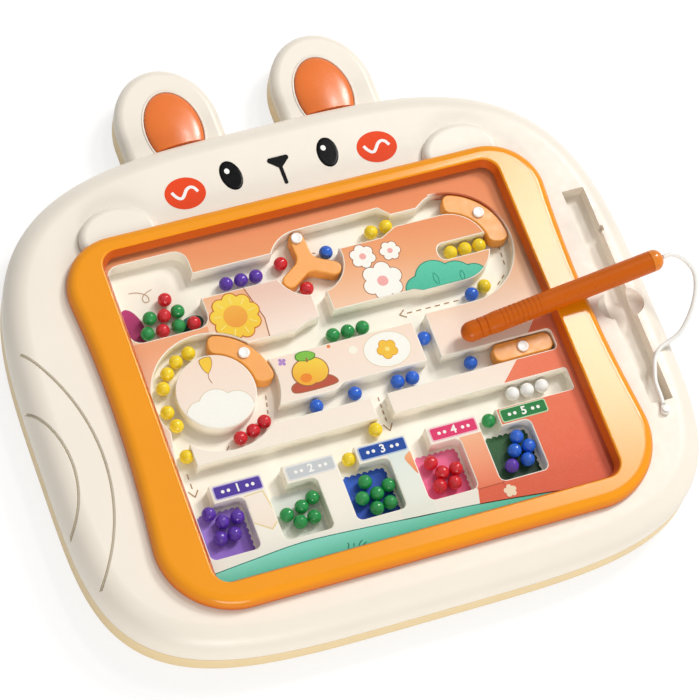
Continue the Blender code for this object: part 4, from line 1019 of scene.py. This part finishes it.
def make_island_prints():
    """Grounds and small pictures on top of the islands."""
    brown = ink((168, 104, 70))
    white = ink((254, 251, 244))
    coral = ink((232, 98, 62), (240, 128, 90), (-0.08, 0.0))
    glow = zone("left_glow", [(-103, -14), (-70, -14), (-62, 41), (-103, 41)],
                ink((252, 224, 204), (244, 168, 122), (-0.012, 0.036)))
    cut(glow, flat("disc", disc(*at(RING_SHARE), RING_INNER_R + 0.003, 64), ISLAND_Z - OVERRUN,
                   COVER_LOW_Z))
    zone("coral_corner", [(92, 3), (76, -15.4), (64, -27), (46, -27), (46, -46), (46.5, -88),
                          (103, -88), (103, 3)], coral)
    zone("coral_foot", [(33.5, -74), (46.5, -74), (46.5, -88), (30, -88)], coral)
    zone("peach_strip", [(34.2, -46.6), (45.8, -46.6), (46.5, -74.2), (33.2, -74.2)],
         ink((240, 124, 86), (248, 184, 142), (-0.074, -0.046)))
    zone("mint_strip", [(-2, -45), (9.6, -45), (11, -80), (-6, -80)],
         ink((246, 246, 232), (228, 236, 230), (-0.08, -0.046)))
    zone("card_edge", [(-73.9, -46.8), (-64.4, -46.2), (-61.6, -62), (-66.4, -66.4), (-74, -61)],
         ink((238, 216, 160)))
    zone("card", [(-73.9, -47.4), (-65.0, -46.8), (-62.3, -61.8), (-66.5, -65.6), (-74, -60.3)],
         ink((251, 233, 216), (252, 240, 228), (-0.066, -0.046)), 2)
    zone("leaf_spot", blob((5.5, -49), (10.4, -46.6), (10.6, -54), (9, -58.5), (6.8, -54)),
         ink((240, 140, 92), (248, 176, 120), (-0.058, -0.046)), 2)

    # Hill along the lower edge
    ridge = smooth_route([(-103, -80.4), (-80, -78.3), (-55, -76.5), (-28, -77.6), (0, -79.5),
                          (30, -81.5), (62, -84.8), (84, -87.4)], 6)
    edge = [(84, -91), (-103, -91)]
    zone("hill_line", [(x, y + 0.5) for x, y in ridge] + edge, ink((36, 128, 112)))
    zone("hill", ridge + edge,
         ink((62, 188, 152), (136, 224, 202), (-0.088, -0.077), (-0.02, 1, 0)), 2)
    strokes("grass", [[(-36, -85.2), (-35, -83.6), (-35.2, -82.4)], [(-33, -85), (-32.4, -83.4)],
                      [(-30.6, -85.2), (-29.4, -83.8), (-28.2, -83.0)],
                      [(-28.6, -85.4), (-26.6, -84.4)]], 0.45, ink((30, 110, 84)), layer=4)
    spot = (48, -79)
    zone("foot_flower", puffs(spot, petals(spot, 5, 1.9, 1.35, 20)), ink((252, 232, 200)), 3)

    # Flower beside the heap
    spot = (-47.5, 42.5)
    outlined("sunflower", lambda grow: puffs(spot, petals(spot, 9, 8.6, 3.6, 10), grow),
             ink((246, 200, 40), (250, 218, 70), (0.03, 0.055)), ink((206, 120, 50)), 0.55, 3)
    zone("sunflower_heart", disc(*spot, 5.8, 64),
         ink((240, 158, 46), (246, 178, 60), (0.037, 0.048)), 5)
    rays = zip(petals(spot, 9, 6.9, 0, 10), petals(spot, 9, 10.4, 0, 10))
    strokes("sunflower_rays", [[start[:2], end[:2]] for start, end in rays], 0.5,
            ink((254, 236, 140)), layer=6)
    patch = [(-39, 57), (-6, 57), (-6, 27), (-35, 27), (-34, 38)]
    zone("blush_line", [(x - 0.5, y) for x, y in patch], brown)
    zone("blush", patch, ink((252, 232, 218), (240, 202, 186), (0.030, 0.052)), 2)

    # Daisies and bush on the right-hand block
    pink = ink((246, 176, 172))
    for number, (x, y, size) in enumerate(((27.5, 41.5, 1.0), (22.5, 56.5, 0.62), (36.5, 56, 0.5))):
        ring = petals((x, y), 6, 6.2 * size, 4.0 * size, 15 + 20 * number)
        outlined("daisy_%d" % number, lambda grow: puffs((x, y), ring, grow), white, brown, 0.4)
        zone("daisy_heart_%d" % number, disc(x, y, 2.7 * size, 40), pink, 3)
    bush = [(44, 32, 7.2), (52.5, 36.2, 9.2), (63, 33.4, 8.8), (72, 32, 6.4), (57, 30, 10)]
    outlined("bush", lambda grow: puffs((58, 30), bush, grow),
             ink((56, 182, 150), (88, 206, 174), (0.04, 0.062), (0.3, 1, 0)),
             ink((38, 140, 118)), 0.5, 3)
    strokes("bush_leaves", [[(53, 32.5), (51.8, 35.6), (52.8, 38.8), (54.2, 36), (53.6, 32.6)],
                            [(65.5, 31.5), (65, 34.2), (66.4, 36.6), (67.2, 34), (66.4, 31.6)]],
            0.4, ink((40, 150, 124)), layer=6)

    # Fruit, plate and small marks on the middle block
    zone("shelf_line", blob((-33.4, -3.6), (-33, 0.9), (-23, 2.6), (-14, 1.4), (-11.4, -3.4),
                            (-22, -4.4)), brown)
    zone("shelf", blob((-32.8, -3.2), (-32.4, 0.4), (-23, 2.0), (-14.4, 0.9), (-12.1, -3.0),
                       (-22, -4.0)), ink((190, 88, 66)), 2)
    fruit = [(-24.6, 5.2, 6.6), (-20.4, 5.4, 6.4)]
    outlined("fruit", lambda grow: puffs((-22.5, 5.3), fruit, grow),
             ink((244, 176, 40), (250, 214, 66), (-0.01, 0.004), (0.4, 1, 0)), brown, 0.5, 3)
    zone("fruit_cheek", ellipse(2.8, 2.3, 36, (-25.6, 2.6)), ink((242, 142, 52)), 5)
    outlined("fruit_leaf", lambda grow: blob(
        (-23, 11.4 - grow), (-26.6 - grow, 12.6), (-26.2 - grow, 15.2 + grow), (-22, 15.9 + grow),
        (-18 + grow, 14.0), (-19 + grow, 11.8 - grow)), ink((132, 196, 76)), ink((76, 140, 50)), 0.4, 5)
    strokes("fruit_stalk", [[(-22.4, 10.4), (-22.2, 12.6)]], 0.8, brown, layer=7)
    spot = (17, 6.5)
    outlined("plate", lambda grow: ellipse(11.5 + grow, 9 + grow, 90, spot), white,
             ink((232, 214, 180)), 0.35)
    outlined("plate_flower", lambda grow: puffs(spot, petals(spot, 5, 2.9, 2.1, 40), grow),
             ink((246, 196, 66)), ink((226, 154, 44)), 0.35, 3)
    zone("plate_flower_heart", disc(*spot, 1.2, 30), ink((250, 226, 130)), 5)
    zone("pale_dot", disc(1.0, 10.5, 2.1, 36), ink((254, 248, 232)))
    spot = (-34, 13.6)
    zone("violet_flower", puffs(spot, petals(spot, 4, 1.3, 0.85, 30)), ink((180, 138, 208)))
    zone("ember_dot", disc(-9.8, 15.4, 0.9, 24), ink((236, 136, 84)))

    # Cloud and leaf on the ring's disc
    cloud = [(-79, -2.5, 7.4), (-71, 0.8, 8.2), (-61.5, -2.2, 7.8), (-69, -7, 9)]
    outlined("cloud", lambda grow: puffs((-69.5, -5), cloud, grow), white, ink((226, 208, 176)), 0.35)
    outlined("disc_leaf", lambda grow: blob(
        (-71.5 - grow, 25 + grow), (-66.6 + grow, 25.4 + grow), (-66.8 + grow, 21.4),
        (-69.6, 17.8 - grow), (-71.4 - grow, 20.6)), ink((250, 206, 70)), brown, 0.3)
    strokes("disc_stalk", [[(-69.6, 17.8), (-70.2, 15), (-69.4, 12.2)]], 0.35, brown, layer=2)


def make_floor_prints():
    """Arrows, dashes and petals on the channel floors, and the cup floors' cards, darker towards the
    lower right as painted shade.
    """
    brown = ink((172, 134, 98))
    dashes = []
    for x, y, end_x, end_y, count in (
            (63, 25.0, 34, 25.2, 6), (6.4, -12.5, 6, -27, 4), (-94, -25, -94, -35, 2),
            (92, 49, 91, 36, 3), (89.4, 32.4, 83, 27, 2), (-45, 3, -47.4, -8, 3),
            (-1.4, 69.7, 4, 67.4, 2), (-12, 50.5, -6, 48.8, 2)):
        for index in range(count):
            dashes.append([(x + (end_x - x) * share, y + (end_y - y) * share)
                           for share in ((index + 0.18) / count, (index + 0.72) / count)])
    strokes("dashes", dashes, 0.6, brown, CHANNEL_Z, 2)
    for index, head in enumerate((
            [(34.4, 27.4), (31.6, 25.2), (34.6, 23.2)], [(3.8, -27.4), (6, -31.2), (8.3, -27.6)],
            [(-96.4, -34.6), (-94, -38), (-91.6, -34.8)],
            [(-70.4, -17.6), (-72.6, -20.2), (-69.2, -21.2)])):
        strokes("arrow_%d" % index, [head[:2], head[1:]], 0.6, brown, CHANNEL_Z, 2)
    strokes("curl", [[(-91, 71), (-87, 70.5), (-83, 68), (-82.6, 65), (-84.8, 64.6), (-85.4, 67),
                      (-83, 69.2), (-79.6, 70.4)]], 0.45, ink((196, 162, 128)), CHANNEL_Z, 2)
    sticker("heap_petal", ellipse(0.0046, 0.0100, 48, (-0.0940, 0.0535), 12),
            ink((138, 14, 78), (184, 40, 112), (0.044, 0.062)), CHANNEL_Z)
    sticker("heap_leaf", ellipse(0.0066, 0.0042, 48, (-0.0672, 0.0474), 16),
            ink((8, 70, 60), (20, 96, 78), (0.043, 0.05)), CHANNEL_Z)
    # Each card's print colour runs from a darker tone at the lower right to a lighter one at the upper
    # left: painted shade.
    for index, colours in enumerate((
            ((140, 100, 200), (176, 140, 228)), ((222, 224, 214), (236, 237, 232)),
            ((8, 62, 168), (22, 92, 206)), ((236, 92, 142), (244, 124, 168)),
            ((10, 56, 34), (36, 100, 44)))):
        left, top = cup_corner(index)
        low, high = (left + 0.0006, top - CUP_H + 0.0006), (left + CUP_W - 0.0010, top - 0.0012)
        span = (top - CUP_H - 0.3 * left, top - 0.3 * left)
        sticker("shaded_cup_card_%d" % (index + 1), scalloped(low, high), ink(*colours, span, (-0.3, 1, 0)),
                CHANNEL_Z)


def scalloped(low, high, radius=0.0028, pitch=0.0031, depth=0.0009):
    """A rounded rectangle with a scalloped edge."""
    corners = [Vector(point) for point in round_box(low, high, radius, 8)]
    middle = (Vector(low) + Vector(high)) / 2
    lengths = [(corner - corners[index - 1]).length for index, corner in enumerate(corners)]
    total = sum(lengths)
    count = round(total / pitch)
    points = []
    walked = 0
    for index, span in enumerate(lengths):
        steps = max(1, round(span / 0.0003))
        for step in range(steps):
            spot = corners[index - 1].lerp(corners[index], step / steps)
            wave = abs(math.sin(math.pi * count * (walked + span * step / steps) / total))
            points.append(tuple(spot + (middle - spot).normalized() * depth * (1 - wave)))
        walked += span
    return points


def digit(name, character, centre, height, material, layer):
    """A digit as a thin raised print."""
    curve = bpy.data.curves.new(name, "FONT")
    curve.body = character
    curve.size = height * 1.36
    curve.align_x = "CENTER"
    curve.align_y = "CENTER"
    curve.extrude = PRINT_T / 2
    curve.offset = height * 0.035
    holder = link(bpy.data.objects.new(name + "_text", curve))
    bpy.context.view_layer.update()
    ready = holder.evaluated_get(bpy.context.evaluated_depsgraph_get())
    mesh = bpy.data.meshes.new_from_object(ready)
    bpy.data.objects.remove(holder, do_unlink=True)
    mesh.transform(Matrix.Translation((*centre, ISLAND_Z + (layer + 0.5) * PRINT_T)))
    reworked(mesh, weld, face_outwards)
    return finish(link(bpy.data.objects.new(name, mesh)), material)


def make_labels():
    """A coloured label with a digit between dots above each cup."""
    white = ink((252, 250, 246))
    low_z = ISLAND_Z + 5 * PRINT_T
    for index, (colour, rim) in enumerate((
            ((84, 62, 160), (196, 184, 226)), ((204, 207, 210), (232, 234, 236)),
            ((32, 74, 160), (176, 196, 228)), ((226, 60, 112), (246, 196, 208)),
            ((40, 126, 66), (186, 220, 178)))):
        shift = Vector((cup_corner(index)[0], 0))
        low, high = Vector(LABEL_LOW) + shift, Vector(LABEL_HIGH) + shift
        edge = Vector((0.0006, 0.0006))
        number = index + 1
        sticker("label_rim_%d" % number, round_box(low, high, 0.0013), ink(rim), layer=3)
        sticker("label_%d" % number, round_box(low + edge, high - edge, 0.0009),
                ink(colour), layer=4)
        middle = (low + high) / 2
        digit("label_digit_%d" % number, str(number), middle, 0.0042, white, 5)
        spots = [disc(middle.x + off, middle.y, 0.00085, 20)
                 for off in (-0.0074, -0.0046, 0.0046, 0.0074)]
        dots = [[level(spot, low_z), level(spot, low_z + PRINT_T)] for spot in spots]
        finish(stack("label_dots_%d" % number, *dots), white)


# Face on the front shell and the tether's anchor

def make_face():
    """Eyes, nose, mouth and cheeks of a plain animal face."""
    white = ink((250, 250, 250))
    cheek = ink((236, 72, 26))
    low = BODY_TOP_Z + PRINT_T
    for side, name in ((-1, "left"), (1, "right")):
        eye = soft_flat("eye_" + name, lambda grow: ellipse(0.0053 + grow, 0.0082 + grow, 72,
                                                            (side * EYE[0], EYE[1]), side * -6),
                        low - PRINT_T / 2, low + 0.0003, 0.0012, 6, 0.0003)
        finish(eye, black_gloss)
        sticker("eye_light_" + name, ellipse(0.0013, 0.0015, 32, (side * EYE[0] - 0.0014, 0.1176)),
                white, BODY_TOP_Z, 8)
        sticker("cheek_" + name, ellipse(0.0102, 0.0086, 90, (side * CHEEK[0], CHEEK[1])), cheek,
                BODY_TOP_Z)
        wave = [(side * CHEEK[0] * 1000 + x, CHEEK[1] * 1000 + y) for x, y in (
            (-6.3, 1.9), (-5.3, -0.3), (-3.7, -2.1), (-2.1, -2.2), (-0.6, -0.6), (1.1, 1.6),
            (3.1, 2.6), (5.0, 1.8), (6.3, -0.6))]
        strokes("cheek_wave_" + name, [wave], 1.6, white, BODY_TOP_Z, 3)
    nose = rounded([(-0.0075, 0.1190, 0.0013), (0.0, 0.1122, 0.0017), (0.0075, 0.1190, 0.0013)], 10)
    sticker("nose", nose, black_gloss, BODY_TOP_Z, 1, 0.00025)
    mouth = round_box((-0.0009, 0.1036), (0.0009, 0.1150), 0.0008, 8)
    sticker("mouth", mouth, black_gloss, BODY_TOP_Z, 1, 0.0002)


def make_anchor():
    """Post with a small eye that holds the tether's end."""
    low = BODY_TOP_Z + GAP
    profile = [(radius, low + rise) for radius, rise in (
        (0.0024, 0), (0.0024, 0.0004), (0.0018, 0.0007), (0.0013, 0.0012), (0.0013, 0.0018),
        (0.0017, 0.0021), (0.0019, 0.0024), (0.0014, 0.0026), (0.0001, 0.0026))]
    post = turned("anchor_post", profile, 48, Matrix.Translation((*ANCHOR, 0)))
    finish(post, white_plastic, nodes=["cord_anchor"])
    eye = level(ellipse(0.0019, 0.0024, 40, (ANCHOR[0], ANCHOR[1] + 0.0002)), low + 0.0012)
    finish(tube("anchor_eye", eye + eye[:1], 0.00045, 12), cord_plastic)


# Levers

def polar(centre, radius, degrees):
    angle = math.radians(degrees)
    return centre[0] + radius * math.cos(angle), centre[1] + radius * math.sin(angle)


def lever(name, outline_of, body, node):
    piece = soft_flat(name, outline_of, LEVER_LOW_Z, LEVER_TOP_Z, LEVER_EDGE_R)
    return finish(piece, lever_plastic, body, [node])


def stud(name, centre, body, node):
    """White button with a small dish in its top."""
    top = LEVER_TOP_Z + STUD_RISE
    profile = [(STUD_R, LEVER_TOP_Z + GAP), (STUD_R, top - 0.0004), (STUD_R - 0.00012, top - 0.00015),
               (STUD_R - 0.0004, top), (STUD_R * 0.72, top), (STUD_R * 0.6, top - 0.00012),
               (STUD_R * 0.3, top - 0.00018), (STUD_R * 0.02, top - 0.00018)]
    piece = turned(name, profile, 48, Matrix.Translation((*centre, 0)))
    return finish(piece, white_plastic, body, [node])


def gate_outline(centre, inner, outer, span, grow):
    """A curved gate with rounded ends."""
    inner = inner + SLIDE_GAP - grow
    outer = outer - SLIDE_GAP + grow
    middle = (inner + outer) / 2
    half = (outer - inner) / 2
    cap = math.degrees(half * 0.86 / middle)
    reach = cap + math.degrees(grow / middle)
    low, high = span[0] + cap, span[1] - cap

    def end(way, degrees):
        return [polar(centre, middle + way * half * c, degrees + way * reach * s ** 0.8)
                for s, c in quarter(12, math.pi)[1:-1]]

    return (arc(outer, low, high, 40, centre) + end(1, high)
            + arc(inner, high, low, 30, centre) + end(-1, low))


def rotor_corners(centre):
    """Corners of the three-armed rotor, with a fillet between each two arms."""
    root = ARM_HALF_W / math.tan(math.pi / 3)
    tip = ARENA_R - ARM_TIP_GAP
    corners = []
    for index in range(3):
        spin = Matrix.Rotation(math.radians(ARM_REST_DEG + 120 * index), 2)
        for x, y, radius in ((tip, -ARM_HALF_W, ARM_HALF_W * 0.95),
                             (tip, ARM_HALF_W, ARM_HALF_W * 0.95), (root, ARM_HALF_W, ARM_FILLET_R)):
            spot = spin @ Vector((x, y))
            corners.append((centre[0] + spot.x, centre[1] + spot.y, radius))
    return corners


def make_levers():
    for name, share, inner, outer, span in (
            ("ring_gate", RING_SHARE, RING_INNER_R, RING_OUTER_R, RING_GATE_DEG),
            ("loop_gate", LOOP_SHARE, LOOP_INNER_R, LOOP_OUTER_R, LOOP_GATE_DEG)):
        centre = at(share)
        lever(name + "_lever", lambda grow: gate_outline(centre, inner, outer, span, grow), name, name)
        stud(name + "_button", polar(centre, (inner + outer) / 2, sum(span) / 2), name,
             name + "_stud")

    right, high = at(LOWER_CHANNEL[2])
    low = at(LOWER_CHANNEL[1])[1]
    half_h = (high - low) / 2 - SLIDE_GAP
    right -= SLIDE_GAP
    middle = (right - SLIDER_LENGTH / 2, (low + high) / 2)
    slider = box_corners((right - SLIDER_LENGTH, middle[1] - half_h), (right, middle[1] + half_h),
                         half_h * 0.83)
    lever("slider_lever", lambda grow: rounded(grown(slider, grow), 12), "slider_gate", "slider_gate")
    stud("slider_button", middle, "slider_gate", "slider_gate_stud")

    centre = at(ARENA_SHARE)
    rotor = rotor_corners(centre)
    lever("rotor_lever", lambda grow: rounded(grown(rotor, grow), 14), "rotor", "rotor")
    stud("rotor_button", polar(centre, ROTOR_STUD_ORBIT, ARM_REST_DEG), "rotor", "rotor_stud")


# Beads. A letter stands for a colour, and the places in the groups are in millimetres.

BEAD_LOOKS = {
    "p": ("purple_bead_1", (94, 52, 174)), "r": ("arena_bead_2", (216, 34, 46)),
    "b": ("blue_bead_1", (40, 104, 216)), "g": ("green_bead_1", (34, 150, 74)),
    "y": ("ring_bead_1", (253, 220, 42)), "w": ("white_bead_1", (252, 252, 250)),
}
SINGLE_BEADS = (
    ("arena_bead", "brr"), ("ring_bead", "yyyyyy"), ("purple_bead", "ppp"), ("green_bead", "ggg"),
    ("white_bead", "www"), ("pushed_bead", "b"), ("blue_bead", "bbbb"),
)
BEAD_GROUPS = {
    "loose_bead": ("yybybyrrryyg", (
        (32.3, 69.8), (40.3, 70.8), (68.3, 24.8), (75.8, 27.3), (37.4, 8.8), (-92.2, -18.7),
        (-64.7, -16.7), (-57.7, -14.7), (-51.2, -11.7), (-1.7, -30.2), (-19.2, -41.2),
        (52.3, -40.7))),
    "heap_beads": ("rgrggrgr", (
        (-76.2, 61.8), (-86.2, 54.3), (-79.2, 53.8), (-72.2, 54.3), (-89.7, 46.8), (-82.2, 46.3),
        (-74.2, 46.8), (-66.7, 46.3))),
    "garage_beads": ("yyy", ((66.3, 48.9), (73.8, 48.9), (81.3, 48.9))),
    "cup_beads_1": ("ppppp", (
        (-91.6, -49.2), (-86.7, -54.7), (-79.2, -54.2), (-90.2, -62.2), (-83.2, -61.9))),
    "cup_beads_2": ("ggggg", (
        (-56.7, -59.7), (-48.7, -57.7), (-42.2, -54.7), (-51.7, -64.7), (-44.7, -64.2))),
    "cup_beads_3": ("gggggg", (
        (-15.7, -54.2), (-19.7, -61.7), (-12.2, -61.2), (-5.6, -58.7), (-14.7, -68.2),
        (-7.7, -67.2))),
    "cup_beads_4": ("rrrrr", (
        (17.8, -53.7), (21.3, -59.7), (28.3, -59.7), (17.9, -65.9), (25.3, -66.2))),
    "cup_beads_5": ("bbbbp", (
        (62.3, -52.2), (58.8, -58.7), (66.3, -58.2), (63.3, -64.7), (54.8, -65.7))),
}


def bead_mesh(name, colour):
    mesh = reworked(bpy.data.meshes.new("bead_" + name), lambda work: bmesh.ops.create_icosphere(
        work, subdivisions=4, radius=BEAD_R))
    mesh.shade_smooth()
    mesh.materials.append(moulded("bead_" + name, colour, (0.08, 0.16), 0.03, 0.000004))
    return mesh


bead_meshes = {letter: bead_mesh(letter, colour) for letter, (_, colour) in BEAD_LOOKS.items()}


def ball(name, letter, x, y, body="casing", nodes=()):
    """One glossy bead."""
    piece = link(bpy.data.objects.new(name, bead_meshes[letter]))
    piece.location = (x, y, BEAD_Z)
    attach(piece, body)
    if nodes:
        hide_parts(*nodes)


def make_beads():
    """Round beads, those in the pockets and cups one by one."""
    for row, letters in SINGLE_BEADS:
        for index, letter in enumerate(letters):
            name = row if row == "pushed_bead" else "%s_%d" % (row, index + 1)
            low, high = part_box(name)
            middle = (low + high) / 2
            ball(name + "_ball", letter, middle.x, middle.y, frame["nodes"][name]["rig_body"], [name])
    for group, (letters, spots) in BEAD_GROUPS.items():
        for index, (letter, (x, y)) in enumerate(zip(letters, spots)):
            first = index == 0 and group in frame["nodes"]
            ball("%s_%d" % (group, index + 1), letter, x / 1000, y / 1000,
                 nodes=[group] if first else ())


make_front()
make_back()
make_inserts()
make_bezel()
make_paws()
make_anchor()
make_face()
make_tray()
finish(print_area, base_print())
make_island_prints()
make_floor_prints()
make_labels()
make_levers()
make_beads()
for name, node in frame["nodes"].items():
    if not node.hide_render:
        node.data.materials.clear()
        node.data.materials.append(clear_look() if name == "clear_cover" else steel)


# Floor, backdrop and light

def background_rays(tree):
    """1 for the rays that show the background: from the camera, off a gloss or through glass."""
    total = new_node(tree, "LightPath", "Is Camera Ray")
    for kind in ("Is Glossy Ray", "Is Transmission Ray"):
        total = new_node(tree, "Math", 0, {0: total, 1: new_node(tree, "LightPath", kind)},
                         use_clamp=True)
    return total


def white_stage():
    """Floor that shows white where the light falls and keeps the shadow."""
    look = Look("floor_paper", 0.9, Specular_IOR_Level=0.0)
    seen = background_rays(look.tree)
    grain = look.spread(look.noise(0.002), 0.3, 0.7)
    paper = look.mixed(grain, (0.80, 0.80, 0.80), (0.82, 0.82, 0.82))
    look.wire(look.mixed(seen, paper, (0.3, 0.3, 0.3)), "Base Color")
    look.shader.inputs["Emission Color"].default_value = (1, 1, 1, 1)
    look.wire(look.spread(seen, 0, 1, 0.0, 0.76), "Emission Strength")
    return look.made


floor = flat("floor", centred_box(3, 3, 0.1), -0.012, -0.0002)
floor.data.materials.append(white_stage())

world = bpy.data.worlds.new("studio")
scene.world = world
world.use_nodes = True
tree = world.node_tree
fill = tree.nodes["Background"]
fill.inputs["Color"].default_value = (1.0, 0.985, 0.96, 1)
fill.inputs["Strength"].default_value = 0.35
white = new_node(tree, "Background", 0, {"Strength": 1.0})
both = new_node(tree, "MixShader", 0, {0: background_rays(tree), 1: fill.outputs[0], 2: white})
tree.links.new(both, tree.nodes["World Output"].inputs["Surface"])


def lamp(name, azimuth, elevation, size, power, colour=(1.0, 0.99, 0.97), roll=0):
    """A soft oval lamp aimed at the middle of the board."""
    data = bpy.data.lights.new(name, "AREA")
    data.shape = "ELLIPSE"
    data.size, data.size_y = size
    data.energy = power
    data.color = colour
    made = link(bpy.data.objects.new(name, data))
    a, e = math.radians(azimuth), math.radians(elevation)
    way = Vector((math.cos(e) * math.cos(a), math.cos(e) * math.sin(a), math.sin(e)))
    made.location = way * LAMP_DISTANCE
    made.rotation_euler = (way.to_track_quat("Z", "Y")
                           @ Quaternion((0, 0, 1), math.radians(roll))).to_euler()


lamp("key", 31, 43, (0.9, 0.9), 78.0)
lamp("sheen", 28, 60, (1.4, 1.4), 14.0)
lamp("strip", 45, 58.8, (0.60, 0.36), 20.0, roll=141)
lamp("front", -102, 20, (2.6, 1.4), 83.0, (1.0, 0.97, 0.92))
